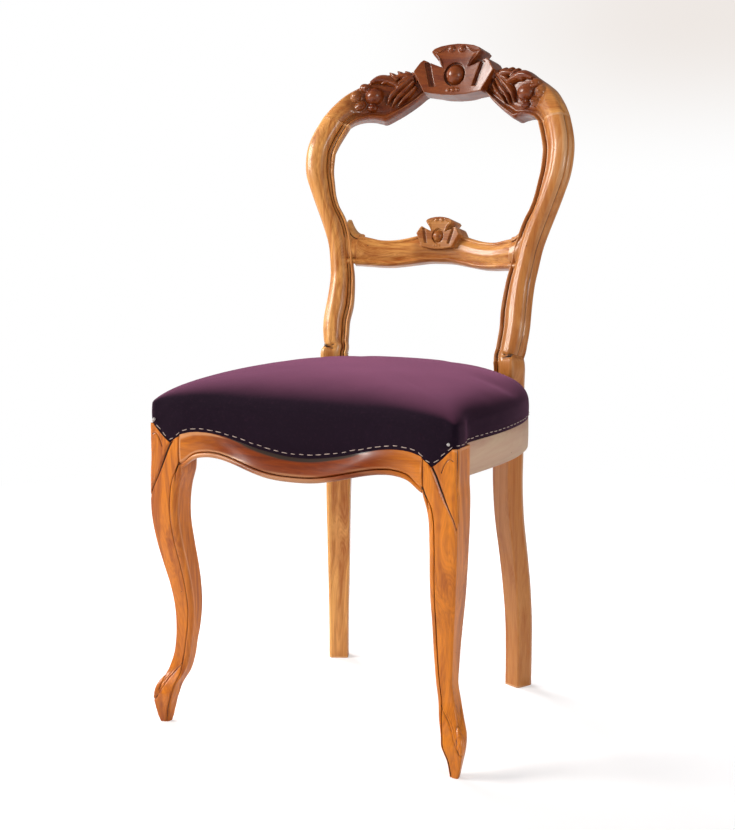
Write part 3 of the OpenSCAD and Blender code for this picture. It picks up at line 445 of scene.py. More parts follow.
def ear_rings():
    """Ear on the inside of the post that carries the lines of the middle rail into it."""
    rings = []
    for k in np.linspace(1, 0, 14):
        x = MID_JOINT_X + EAR_REACH * k
        flare = k * k
        low, top = -3 * flare, MID_H + 21 * flare
        z = MID_LOW_H + low + (top - low) * MID_SECTION[:, 0]
        depth = MID_SECTION[:, 1] * BACK_T / SECTION_T * MID_DEPTH_SHARE * (1 - 0.12 * k)
        depth = depth + 1.5 * k + 4.0 * flare
        rings.append(np.stack([np.full(len(z), x), back_y(x, z) + depth, z], -1))
    return np.array(rings)


def build_post():
    post = loft("carved_rear_post_right", post_rings())
    ear = loft("ear", ear_rings())
    return joined("carved_rear_post_right", [post, ear])


# Crest rail, modelled flat and then bent to the back

CREST_ROWS = 150
CARVED_FROM = 0.12
CARVED_TO = 0.2
BEVEL = [0, 0.01, 0.02, 0.04, 0.045, 0.045, 0.045, 0.045, 0.04, 0.04, 0.04, 0.04, 0.04]


def crest_rings():
    t = np.linspace(0, 1, CREST_ROWS)
    rings = []
    rows = zip(t, along(CREST_INNER, t), along(CREST_OUTER, t), along(BEVEL, t))
    for k, inner, outer, bevel in rows:
        profile = mix(MOULDED, CARVED, ramp(k, CARVED_FROM, CARVED_TO)).copy()
        under = profile[:, 0] < 0.15
        profile[under, 0] -= bevel * profile[under, 1] / SECTION_T
        rings.append(crest_section(back_spot(inner), back_spot(outer), profile))
    right = np.array(rings)
    return np.concatenate([right, flip_x(right[-2::-1])])


def flat_loft(name, rings):
    """Solid in flat coordinates, as millimetres, to be joined with others before it is bent."""
    rings = np.asarray(rings, float)
    return face_outwards(make_object(name, rings, solid_faces(*rings.shape[:2])))


def slab(name, outline, low, high, chamfer=0.8):
    """Flat plate over an outline in x and z, from a low to a high face, its top edge eased."""
    outline = np.asarray(outline, float)
    nearby = np.roll(outline, -1, 0) - np.roll(outline, 1, 0)
    inward = unit(np.stack([-nearby[:, 1], nearby[:, 0]], -1))
    after = np.roll(outline, -1, 0)
    area = (outline[:, 0] * after[:, 1] - after[:, 0] * outline[:, 1]).sum()
    inward *= 1 if area > 0 else -1
    levels = [(0, low), (0, high - chamfer), (chamfer * 0.35, high - chamfer * 0.3), (chamfer, high)]
    rings = []
    for inset, height in levels:
        p = outline + inward * inset
        rings.append(np.stack([p[:, 0], np.full(len(p), height), p[:, 1]], -1))
    return flat_loft(name, rings)


def dome(name, centre, radii, low, height, turn=0.0):
    """Swelling oval lump: a fruit, a boss or a petal."""
    b = np.linspace(0, 2 * math.pi, 28, endpoint=False)
    rings = []
    for a in np.linspace(0, math.pi / 2, 9)[:-1]:
        u, v = np.cos(a) * radii[0] * np.cos(b), np.cos(a) * radii[1] * np.sin(b)
        x = centre[0] + u * math.cos(turn) - v * math.sin(turn)
        z = centre[1] + u * math.sin(turn) + v * math.cos(turn)
        rings.append(np.stack([x, np.full(len(b), low + height * math.sin(a)), z], -1))
    base = rings[0].copy()
    base[:, 1] = low - 6
    return flat_loft(name, [base] + rings)


def blade(name, line, widths, heights, low=-9.0):
    """Leaf blade or moulding that follows a line, with a ridge along its middle."""
    t = np.linspace(0, 1, 26)
    path = along(line, t)
    width, height = along(widths, t), along(heights, t)
    way = unit(np.gradient(path, axis=0))
    side = np.stack([-way[:, 1], way[:, 0]], -1)
    rings = []
    shape = [(-1, None), (-1, 0.1), (-0.6, 0.62), (-0.2, 0.95), (0, 1.0), (0.25, 0.9),
             (0.65, 0.55), (1, 0.1), (1, None)]
    for i in range(len(t)):
        ring = []
        for u, h in shape:
            p = path[i] + side[i] * u * width[i]
            lift = low if h is None else mix(-5, height[i], h ** 0.55)
            ring.append([p[0], lift, p[1]])
        rings.append(ring)
    return flat_loft(name, rings)


def joined(name, parts):
    bpy.ops.object.select_all(action="DESELECT")
    for p in parts:
        p.select_set(True)
    bpy.context.view_layer.objects.active = parts[0]
    bpy.ops.object.join()
    parts[0].name = name
    return parts[0]


def cut_away(obj, cutters):
    for cutter in cutters:
        apply_modifier(obj, "BOOLEAN", operation="DIFFERENCE", solver="EXACT", object=cutter)
        bpy.data.objects.remove(cutter)
    return obj


def carve_together(obj, voxel):
    """One skin over all the joined lumps, as if cut from a single board, then thinned."""
    apply_modifier(obj, "REMESH", mode="VOXEL", voxel_size=voxel)
    apply_modifier(obj, "SMOOTH", factor=0.5, iterations=1)
    cavity(obj, 10, 1.0)
    apply_modifier(obj, "DECIMATE", ratio=KEPT_FACES)
    return obj


def bend_object(obj):
    """Takes a flat carving in millimetres to its place on the back, in metres."""
    write_points(obj.data, to_frame(bend_to_back(read_points(obj.data).astype(float))))
    return shade(obj, 60)


# Finest detail of the carving in millimetres, and the share of its faces that is kept
CREST_VOXEL = 0.62
MID_VOXEL = 0.55
KEPT_FACES = 0.4

CROWN_TOP = 924.0
CROWN_LOW = 853.0
CROWN_MIDDLE = 880.0


def crown_outline():
    """Fan shaped crown with a notch on each side above its wings."""
    half = [(0, CROWN_TOP - 1), (14, CROWN_TOP - 2), (27, CROWN_TOP - 4), (37, CROWN_TOP - 7.5),
            (41, CROWN_TOP - 12), (37, CROWN_TOP - 17), (28, CROWN_TOP - 26),
            (22, CROWN_TOP - 35), (36, CROWN_TOP - 30), (52, CROWN_TOP - 23.5),
            (57, CROWN_TOP - 27), (66, CROWN_TOP - 40), (57, CROWN_TOP - 55),
            (47, CROWN_LOW), (34, CROWN_LOW - 2), (20, CROWN_LOW - 4), (0, CROWN_LOW - 5)]
    return half + [(-x, z) for x, z in half[-2:0:-1]]


def crown_parts(centre=(0.0, CROWN_MIDDLE), across=1.0, up=1.0, face=9.0, deep=-22.5):
    """Crown or small fan: plate with two slots, boss in a sunk ring, scrolls and roundels."""
    cx, cz = centre
    size = (across + up) / 2

    def at(points):
        return [(cx + x * across, cz + (z - CROWN_MIDDLE) * up) for x, z in points]

    plate = slab("crown_plate", at(crown_outline()), deep, face)
    cutters = []
    for s in (-1, 1):
        slot_line = [(s * 50.5, 895.5), (s * 42, 897.5), (s * 30.5, 861), (s * 39.5, 861)]
        cutters.append(slab("slot", at(slot_line), face - 5.0 * size, face + 4, 0.01))
    ring = [(17.5 * math.cos(a), 878 + 17.5 * math.sin(a))
            for a in np.linspace(0, 2 * math.pi, 36, endpoint=False)]
    cutters.append(slab("well", at(ring), face - 4.5 * size, face + 4, 0.01))
    parts = [cut_away(plate, cutters)]
    boss_at = at([(0, 878)])[0]
    parts.append(dome("boss", boss_at, (14.4 * size, 14.4 * size), face - 5 * size, 13.5 * size))
    for s in (-1, 1):
        spot = at([(s * 8.5, 915)])[0]
        parts.append(dome("roundel", spot, (5.6 * size, 5.6 * size), face - 1, 4.6 * size))
        scroll = at([(s * 37, 912), (s * 30, 911), (s * 23, 913.5), (s * 16, 918)])
        parts.append(blade("scroll", scroll, [1.2 * size, 2.0 * size, 2.2 * size, 1.5 * size],
                           [face + 0.6, face + 2.2 * size, face + 2.4 * size, face + 0.6], low=2))
        band = at([(s * 33, 908), (s * 26, 901), (s * 22, 893), (s * 20, 888)])
        parts.append(blade("band", band, [1.5 * size, 2.4 * size, 2.2 * size, 1.2 * size],
                           [face + 0.4, face + 2.2 * size, face + 2.0 * size, face + 0.4], low=2))
    for x, r in ((0, 3.4), (-7, 2.6), (7, 2.6)):
        spot = at([(x, 855.5)])[0]
        parts.append(dome("leaflet", spot, (r * 1.5 * size, r * size), face - 1, 3.4 * size))
    return parts


def shoulder_parts(s):
    """Fruit, petals and leaves on one shoulder of the crest: s is -1 on the left, 1 on the right."""
    parts = []

    def at(points):
        return [(s * x, z) for x, z in points]

    fruit = (s * 120, 851)
    if s < 0:
        parts.append(dome("fruit", fruit, (13.2, 13.2), -6, 15.0))
    else:
        parts.append(dome("fruit", fruit, (14.0, 12.2), -6, 14.0, turn=0.35))
    petals = [((133, 863), (9, 6.5), 2.1), ((145, 851), (9.5, 7), 3.0), ((138, 837), (9, 6.5), 3.9),
              ((121, 834), (7.5, 5.5), 4.8)]
    for (x, z), radii, turn in petals:
        lean = turn if s > 0 else math.pi - turn
        parts.append(dome("petal", (s * x, z), radii, -5.5, 6.0, turn=lean - math.pi / 2))
        parts.append(dome("eye", (s * x, z), (radii[0] * 0.45, radii[1] * 0.45), -2.0, 4.4))
    rows = [
        ([(128, 871), (116, 876), (102, 874), (88, 866)], [2.4, 6.2, 6.6, 3.0], [-1, 3.4, 4.2, 1.0]),
        ([(112, 869), (103, 872), (92, 868), (83, 860)], [2.0, 4.8, 5.0, 2.2], [0, 4.6, 4.8, 1.4]),
        ([(64, 882), (80, 868), (96, 852), (101, 838)], [3.4, 5.0, 4.4, 1.2], [2.6, 5.2, 4.0, 0]),
        ([(66, 872), (77, 859), (88, 847), (94, 835)], [3.2, 4.6, 3.6, 1.0], [2.4, 4.6, 3.4, 0]),
        ([(62, 864), (71, 853), (79, 845), (86, 836)], [2.6, 3.8, 2.8, 0.8], [1.8, 3.8, 2.4, -1]),
        ([(98, 878), (88, 880), (78, 880), (66, 876)], [1.0, 4.2, 5.2, 3.8], [0, 3.2, 4.0, 2.4]),
        ([(92, 862), (86, 870), (77, 875), (66, 880)], [1.4, 3.8, 4.6, 3.2], [1, 4.4, 4.6, 2.6]),
    ]
    for line, widths, heights in rows:
        parts.append(blade("leaf", at(line), widths, heights))
    tips = [(103, 886), (92, 888), (81, 888), (71, 886)]
    for x, z in tips:
        line = [(x - 12, z - 12), (x - 6, z - 5), (x, z)]
        parts.append(blade("tip", at(line), [4.6, 3.8, 0.8], [1.8, 1.6, -2.0]))
    return parts


def build_crest():
    parts = [flat_loft("crest_body", crest_rings())]
    parts += crown_parts()
    for s in (-1, 1):
        parts += shoulder_parts(s)
    return bend_object(carve_together(joined("carved_crest_rail", parts), CREST_VOXEL))


# Middle rail with its small fan

MID_JOINT_X = 122.0
MID_LOW_H = 604.0
MID_H = 43.0
MID_LOW = [0, -0.02, -0.045, -0.045, 0, 0.06, 0.115, 0.125]
MID_TOP = [1, 0.93, 0.85, 0.84, 0.88, 0.96, 1.06, 1.2, 1.2]


def build_mid_rail():
    rings = []
    for k in np.linspace(0, 1, 90):
        low, top = along(MID_LOW, k), along(MID_TOP, k)
        x = MID_JOINT_X * (1 - k)
        z = MID_LOW_H + MID_H * (low + (top - low) * MID_SECTION[:, 0])
        y = back_y(x, z) + MID_SECTION[:, 1] * BACK_T / SECTION_T
        rings.append(np.stack([np.full(len(z), x), y, z], -1))
    right = np.array(rings)
    rings = np.concatenate([right, flip_x(right[-2::-1])])
    flat = rings.copy()
    flat[..., 1] = -(rings[..., 1] - back_y(rings[..., 0], rings[..., 2])) * MID_DEPTH_SHARE
    body = flat_loft("mid_body", flat)
    fan = crown_parts(centre=(0.0, 646.0), across=0.53, up=0.62, face=7.5, deep=-23.0)
    return bend_object(carve_together(joined("carved_mid_rail", [body] + fan), MID_VOXEL))


# Front legs: the face is carved with a bead, a leaf and a tongue

LEG_IN_X = 175.0
HEAD_X = 221.0
SHANK_HEIGHT = [0.163, 0.209, 0.256, 0.302, 0.372, 0.442, 0.512, 0.581, 0.674, 0.767,
                0.814, 0.85, 0.88]
SHANK_OUT = [0.3, 0.68, 0.9, 0.93, 0.86, 0.66, 0.38, 0.14, -0.08, -0.1, -0.06, 0, 0]
SHANK_FRONT = [1.12, 1.4, 1.44, 1.5, 1.45, 1.18, 0.76, 0.34, 0, 0, 0, 0, 0]
SHANK_WIDTH = [0.12, 0.02, 0, 0.09, 0.23, 0.37, 0.53, 0.61, 0.68, 0.81, 1, 1, 1]
SHANK_DEPTH = [0, 0, 0, 0.1, 0.26, 0.44, 0.6, 0.73, 0.83, 0.93, 1, 1, 1]
TOE_LEVEL = [0, 0.45, 0.9, 1.12]
TOE_OUT = [0.7, 0.87, 1, 0.93]
TOE_FRONT = [0.75, 0.85, 0.95, 0.8]
TOE_WIDTH = [0, 0.33, 0.82, 0.85]
TOE_DEPTH = [0, 0.25, 0.6, 0.75]
FOOT_LEVEL = [0, 8, 20, 34, 56, 74]
FOOT_STRETCH = [1.35, 1.5, 1.45, 1.22, 1.07, 1.0]
ANKLE_X = HEAD_X - KNEE_THROW + 2
ANKLE_Y = -(FRONT_REACH - KNEE_THROW * 1.5)


def leg_stations():
    """Outer corner x, front y, z, width and depth, from the floor up to the seat."""
    toe = [[ANKLE_X + TOE_THROW * o, ANKLE_Y - 21.2 * f, TOE_H * h,
            mix(TOE_W, ANKLE_W * 1.35, w), mix(TOE_W, ANKLE_W, d)]
           for h, o, f, w, d in zip(TOE_LEVEL, TOE_OUT, TOE_FRONT, TOE_WIDTH, TOE_DEPTH)]
    shank = [[HEAD_X - KNEE_THROW * o * 0.94, -FRONT_REACH + KNEE_THROW * f, RAIL_TOP * h,
              mix(ANKLE_W, LEG_HEAD_W, w), mix(ANKLE_W, LEG_HEAD_D, d)]
             for h, o, f, w, d in zip(SHANK_HEIGHT, SHANK_OUT, SHANK_FRONT, SHANK_WIDTH,
                                      SHANK_DEPTH)]
    return np.array(toe + shank)


def cloth_line(x):
    """Height of the upper edge of the bare wood on the front of the leg."""
    return np.interp(x, [176, 183, 189, 195, 203, 211, 217, 221],
                     [395.5, 391, 386, 390, 397, 405, 410, 411.5])


LEAF_LINE = [(187, 391), (193.5, 379), (200, 364), (206.5, 349), (212.5, 336), (218, 325),
             (222.5, 313)]
ARCH_LINE = [(202, 382), (205.5, 391), (209.5, 397), (213, 399), (217, 397)]
SWEEP_LINE = [(184.6, 318), (184.2, 332), (182.6, 345), (179.5, 355), (175.5, 361.5), (171, 364)]


def leg_section(width, depth, bead):
    """Section from the back by the inner side and the front, and the index of its outer corner."""
    bu = np.minimum(bead, width * 0.42)
    bv = np.minimum(bead * 0.8, depth * 0.36)
    angle = np.linspace(0, math.pi / 2, 14)
    arc = np.stack([bu - 0.8 - (bu - 1.1) * np.cos(angle),
                    bv - 0.8 - (bv - 1.1) * np.sin(angle)], -1)
    ro = 2.6
    outer = np.stack([width - ro + ro * np.sin(angle), ro - ro * np.cos(angle)], -1)
    front_from, front_to = bu + 1.5, width - ro
    side_from, side_to = ro, depth - 3
    u = np.linspace(0, 1, 40, endpoint=False)[:, None]
    v = np.linspace(0, 1, 24, endpoint=False)[:, None]
    w = np.linspace(0, 1, 12, endpoint=False)[:, None]
    parts = [
        mix(np.array([[0, depth - 3]]), np.array([[0, bv + 1.5]]), w),
        np.array([[0, bv + 1.4], [0.7, bv + 0.7], [1.7, bv], [1.0, bv - 0.5]]),
        arc,
        np.array([[bu - 0.5, 1.0], [bu, 1.7], [bu + 0.7, 0.7]]),
        mix(np.array([[front_from, 0]]), np.array([[front_to, 0]]), u),
        outer,
        mix(np.array([[width, side_from + 0.2]]), np.array([[width, side_to]]), v),
        np.array([[width, depth - 2.4], [width - 0.9, depth - 0.9], [width - 2.6, depth]]),
        mix(np.array([[width - 3.2, depth]]), np.array([[3.2, depth]]), w),
        np.array([[2.6, depth], [0.9, depth - 0.9], [0, depth - 2.4]]),
    ]
    ridge = sum(len(p) for p in parts[:5]) + len(outer) // 2
    return np.concatenate(parts), ridge


def leg_rows():
    low = np.arange(0, 112, 1.3)
    middle = np.arange(112, 318, 2.6)
    high = np.arange(318, 412.5, 1.1)
    return np.concatenate([low, middle, high])


def leg_relief(u, v, width, depth, x, z, s):
    """Depth of the carving below the plain surface; s runs round from the outer front edge."""
    cut = np.zeros_like(s)
    front = (s < 2.0) & (v < depth * 0.5) & (u > width * 0.2)
    front_low = (s < 0) & (v < 4)
    upper = ramp(z, 316, 324)
    leaf = line_distance(x, z, smooth_line(LEAF_LINE))
    wide = 1.5 + 1.7 * float(ramp(z, 318, 380))
    cut += 1.15 * wide * valley(leaf, wide) ** 0.8 * front * ramp(z, 306, 316)
    cut += 1.2 * valley(line_distance(x, z, smooth_line(ARCH_LINE)), 1.2) * front * upper
    sweep = valley(line_distance(x, z, smooth_line(SWEEP_LINE)), 1.5)
    cut += 1.7 * sweep * front_low * ramp(z, 322, 344)
    opening = ramp(z, 330, 400)
    corner = valley(s - 3.5 - 4.0 * opening, 1.6 + 1.8 * opening) * ramp(z, 316, 340)
    cut += 4.2 * corner * (u > width - 1)
    leaf_side = (s > 2.5) & (s < 9)
    cut += 0.6 * leaf_side * ramp(z, 330, 352)
    # Tongue on the foot, its rounded end downwards
    half = np.where(s < 0, 11.5, 10.5) * np.sqrt(np.clip((z - 31) / 20, 0, 1))
    wide = ramp(z, 62, 92)
    edge = np.abs(s) - (half + 9 * wide)
    near = (v < depth * 0.8) & (z < 96)
    fade = 1 - ramp(z, 72, 94)
    cut += 1.3 * valley(edge, 1.5) * near * fade * ramp(z, 29, 35)
    cut += 0.7 * valley(edge + 3.6, 1.0) * near * fade * ramp(z, 33, 40)
    hollow = valley(s, 10.0) * near * ramp(z, 33, 38) * (1 - ramp(z, 58, 82))
    cut += 1.6 * hollow
    petal = np.hypot(s / 6.6, (z - 48) / 15.5)
    cut -= 1.1 * np.sqrt(np.clip(1 - petal * petal, 0, 1)) * near
    cut += 0.8 * valley(petal - 1.04, 0.16) * near
    return cut


def leg_rings():
    levels = leg_rows()
    rings = []
    for (x, y, _, width, depth), z in zip(through(levels, leg_stations()), levels):
        width = min(width, x - LEG_IN_X) if x - LEG_IN_X > 12 else width
        bead = mix(mix(6.4, 9.0, float(ramp(z, 120, 330))), 1.7, float(ramp(z, 338, 366)))
        bead = mix(1.6, bead, float(ramp(z, 46, 92)))
        section, ridge = leg_section(width, depth, bead)
        step = np.hypot(*np.diff(section, axis=0, append=section[:1]).T)
        s = np.concatenate([[0], np.cumsum(step)[:-1]])
        s -= s[ridge]
        way = unit(np.roll(section, -1, 0) - np.roll(section, 1, 0))
        normal = np.stack([way[:, 1], -way[:, 0]], -1)
        px, py = x - width + section[:, 0], y + section[:, 1]
        cut = leg_relief(section[:, 0], section[:, 1], width, depth, px, z, s)
        # The panel swells a little between its lines, most of all near the knee
        swell = np.clip((section[:, 0] - bead) / (width - bead), 0, 1)
        belly = 0.9 * np.sin(math.pi * swell) * (section[:, 1] < 0.5) * ramp(z, 90, 150)
        move = (belly - cut)[:, None] * normal
        px, py = px + move[:, 0], py + move[:, 1]
        # The foot is longer along the diagonal that its toe points in
        longer = float(np.interp(z, FOOT_LEVEL, FOOT_STRETCH)) - 1
        lead = ((px - px.mean()) - (py - py.mean())) / 2 * longer
        rings.append(np.stack([px + lead, py - lead, np.full(len(px), z)], -1))
    return np.array(rings)


def build_front_leg():
    rings = leg_rings()
    # The rim follows the edge of the cloth; above it the wood steps in under the cloth
    top = rings[-1].copy()
    front = top[:, 1] < -FRONT_REACH + 6
    line = np.where(front, cloth_line(top[:, 0]), 411.0)
    rings[..., 2] = np.minimum(rings[..., 2], line[None, :] + 0.004 * rings[..., 2])
    centre = np.array([LEG_IN_X, -FRONT_REACH + LEG_HEAD_D])
    step = rings[-1].copy()
    step[:, :2] = np.stack([
        np.clip(step[:, 0], LEG_IN_X, HEAD_X - REBATE * 2.4),
        np.clip(step[:, 1], -FRONT_REACH + REBATE, centre[1])], -1)
    step[:, 2] += 0.8
    head = step.copy()
    head[:, 2] = RAIL_TOP
    rings = np.concatenate([rings, step[None], head[None]])
    return loft("carved_front_leg_right", rings, 38)


# Seat rails

FRONT_IN_Y = -FRONT_REACH + REBATE * 2 + RAIL_T
FRONT_LOW = RAIL_TOP - FRONT_RAIL_H
FRONT_LINE = [0.363, 0.375, 0.408, 0.454, 0.513, 0.579, 0.632, 0.66, 0.655, 0.605]
FRONT_LOW_LINE = [0, 0.005, 0.028, 0.075, 0.134, 0.19, 0.23, 0.235, 0.178, 0.007]
FRONT_BULGE = [1, 0.97, 0.87, 0.68, 0.42, 0.15, -0.04, -0.1, -0.07, 0]
CLOTH_SET = [1, 1, 0.98, 0.95, 0.9, 0.82, 0.7, 0.5, 0.3, 0.1]
CLOTH_BACK = 9.0


def front_cloth(t):
    return (-FRONT_REACH + CLOTH_BACK * along(CLOTH_SET, t),
            FRONT_LOW + FRONT_RAIL_H * along(FRONT_LINE, t))


def front_section(t):
    low = FRONT_LOW + FRONT_RAIL_H * along(FRONT_LOW_LINE, t)
    bead = -FRONT_REACH - 14 * along(FRONT_BULGE, t)
    top, line = front_cloth(t)
    thin = 1 - 0.55 * ramp(t, 0.86, 1.0)
    pts = [(FRONT_IN_Y, low + 6), (mix(FRONT_IN_Y, bead, 0.6), low + 2.5), (bead + 9, low + 0.3)]
    for r in np.radians(np.linspace(-100, 128, 13)):
        pts.append((bead + 2.9 - 2.9 * math.cos(r) * thin, low + 3.2 + 3.1 * math.sin(r)))
    pts.append((bead + 4.2 * thin, low + 6.6))
    pts.append((bead + 2.4 * thin, low + 7.6))
    for k in np.linspace(0, 1, 15):
        hollow = 1.2 * math.sin(math.pi * k) ** 1.5
        pts.append((mix(bead + 1.1 * thin, top, k) - hollow, mix(low + 8.8, line, k)))
    pts += [(top + REBATE, line + 0.8), (top + REBATE, RAIL_TOP), (FRONT_IN_Y, RAIL_TOP)]
    return np.array([(LEG_IN_X * t, y, z) for y, z in pts])


def build_front_rail():
    right = np.array([front_section(t) for t in np.linspace(1, 0, 90)])
    rings = np.concatenate([right, flip_x(right[-2::-1])])
    return loft("shaped_front_rail", rings, 38)


LEG_BACK_Y = -FRONT_REACH + LEG_HEAD_D
SEAT_POST_W = POST_W * 0.88
POST_FACE = unit(back_face(POST_X)[:2].tolist() + [0.0])
POST_OUT = np.array([-POST_FACE[1], POST_FACE[0], 0.0])


def post_at(side, depth, z):
    return np.array([POST_X, POST_REACH, z]) + POST_OUT * side - POST_FACE * depth


END_OUT = post_at(SEAT_POST_W * 0.74, 0, 0)
END_IN = post_at(-SEAT_POST_W * 0.368, 0, 0)
SIDE_ACROSS = [0.906, 0.972, 1, 0.955, 0.808, 0.599, 0.321]
SIDE_ALONG = [0, 0.2, 0.371, 0.543, 0.715, 0.835, 0.935]
SIDE_POINTS = [[mix(END_OUT[0], SEAT_HALF_W, a), LEG_BACK_Y + (END_OUT[1] - LEG_BACK_Y) * b]
               for a, b in zip(SIDE_ACROSS, SIDE_ALONG)] + [[END_OUT[0], END_OUT[1]]]
SIDE_LOW = RAIL_TOP - SIDE_RAIL_H
SIDE_LINE = SIDE_LOW + 41.5


def side_at(t):
    return along(SIDE_POINTS, t)


def build_side_rail():
    t = np.linspace(0, 1, 80)
    outer = side_at(t)
    way = unit(side_at(np.minimum(t + 0.01, 1)) - side_at(np.maximum(t - 0.01, 0)))
    inner = outer - np.stack([way[:, 1], -way[:, 0]], -1) * RAIL_T
    inner[0] = outer[0] - [RAIL_T, 0]
    inner[-1] = END_IN[:2]
    section = [(RAIL_T, SIDE_LOW), (RAIL_T, RAIL_TOP), (REBATE, RAIL_TOP), (REBATE, SIDE_LINE + 0.8),
               (0.5, SIDE_LINE), (0, SIDE_LINE - 0.8), (-0.3, mix(SIDE_LOW, SIDE_LINE, 0.72)),
               (-0.4, mix(SIDE_LOW, SIDE_LINE, 0.4)), (0, SIDE_LOW + 3.2), (0.5, SIDE_LOW + 1.4),
               (1.6, SIDE_LOW + 0.4), (3.2, SIDE_LOW)]
    rings = [[[*mix(o, n, depth / RAIL_T), z] for depth, z in section] for o, n in zip(outer, inner)]
    return loft("curved_side_rail_right", np.array(rings), 35)


def rear_edge(end, t):
    return np.array([end[0] * t, end[1] + 9 * (1 - t * t)])


REAR_LOW = RAIL_TOP - REAR_RAIL_H
REAR_FRONT_END = post_at(-SEAT_POST_W / 2, 2, 0)
REAR_BACK_END = post_at(-SEAT_POST_W / 2, 20, 0)


def build_rear_rail():
    section = [(0.1, REAR_LOW), (0, REAR_LOW + 2), (0, RAIL_TOP - 1), (0.05, RAIL_TOP),
               (0.95, RAIL_TOP), (1, RAIL_TOP - 1), (1, REAR_LOW + 2), (0.9, REAR_LOW)]
    rings = []
    for t in np.linspace(1, -1, 61):
        front, back = rear_edge(REAR_FRONT_END, abs(t)), rear_edge(REAR_BACK_END, abs(t))
        front[0], back[0] = math.copysign(front[0], t), math.copysign(back[0], t)
        rings.append([[*mix(back, front, k), z] for k, z in section])
    return loft("bowed_rear_rail", np.array(rings), 35)


# The stuffed seat: hem line in plan and height, from the front centre round by the right

NOTCH_H = RAIL_TOP - 44
LEAF_TOP_H = RAIL_TOP - 19.5
HEAD_FRONT_Y = -FRONT_REACH + 0.5
TUCK_H = RAIL_TOP + 5.3
BORDER_TOP = 441.0
PAD_TOP = 479.5
BORDER_BULGE = 1.0
SEAT_CENTRE = np.array([0, (POST_REACH - FRONT_REACH) / 2])
# Rounds of easing, way inwards and rise of each ring between the border and the dome
SHOULDER = [(6, 1.3, 4.0), (20, 3.4, 9.0), (46, 7.0, 13.5), (84, 12.0, 17.5)]
REAR_LIFT = 5.0


def hem_points():
    """Points of the hem: front rail, leaf of the leg, side rail, tuck at the post, rear rail."""
    front = []
    for t in (0, 0.17, 0.34, 0.51, 0.66, 0.78, 0.88, 0.97):
        y, z = front_cloth(t)
        front.append([LEG_IN_X * t, y, z])
    leaf = [[mix(LEG_IN_X, HEAD_X, 0.3), HEAD_FRONT_Y, NOTCH_H + 2],
            [mix(LEG_IN_X, HEAD_X, 0.62), HEAD_FRONT_Y, mix(NOTCH_H, LEAF_TOP_H, 0.55)],
            [HEAD_X - 4, HEAD_FRONT_Y, LEAF_TOP_H + 0.5],
            [HEAD_X - 0.8, HEAD_FRONT_Y + 4, LEAF_TOP_H + 0.5],
            [HEAD_X - 0.8, mix(-FRONT_REACH, LEG_BACK_Y, 0.6), LEAF_TOP_H + 0.5]]
    side = [[*side_at(t), SIDE_LINE + 0.5]
            for t in (0.02, 0.16, 0.3, 0.44, 0.57, 0.7, 0.81, 0.9, 0.97)]
    tuck = [post_at(SEAT_POST_W / 2 + 4, -1, TUCK_H), post_at(0, -1, TUCK_H),
            post_at(-SEAT_POST_W / 2 - 1, -1, TUCK_H), post_at(-SEAT_POST_W / 2 - 1, 24, TUCK_H)]
    rear = []
    for t in (0.82, 0.6, 0.36, 0.12):
        x, y = rear_edge(REAR_BACK_END, t)
        rear.append([x, y + REBATE + 0.25, RAIL_TOP - REAR_RAIL_H * 0.7])
    return np.array(front + leaf + side + [list(p) for p in tuck] + rear)


HEM_STEPS = 4


def hem_loop():
    """Closed hem line with evenly many points between those that shape it."""
    half = hem_points()
    loop = np.concatenate([half, flip_x(half[:0:-1])])
    n = len(loop)
    padded = np.concatenate([loop[-2:], loop, loop[:3]])
    s = np.linspace(0, n, n * 24 + 1) + 2
    fine = curve(padded, s)
    run = np.concatenate([[0], np.cumsum(np.linalg.norm(np.diff(fine[:, :2], axis=0), axis=-1))])
    even = np.arange(n * HEM_STEPS) / (n * HEM_STEPS) * run[-1]
    return np.stack([np.interp(even, run, fine[:, k]) for k in range(3)], -1)


def eased(plan, rounds):
    for _ in range(rounds):
        plan = (np.roll(plan, 1, 0) + 2 * plan + np.roll(plan, -1, 0)) / 4
    return plan


def inset_plan(plan, rounds, inset):
    """Closed line moved inwards, its corners rounded first."""
    plan = eased(plan, rounds)
    way = unit(np.roll(plan, -2, 0) - np.roll(plan, 2, 0))
    return plan - eased(np.stack([way[:, 1], -way[:, 0]], -1), 4) * inset


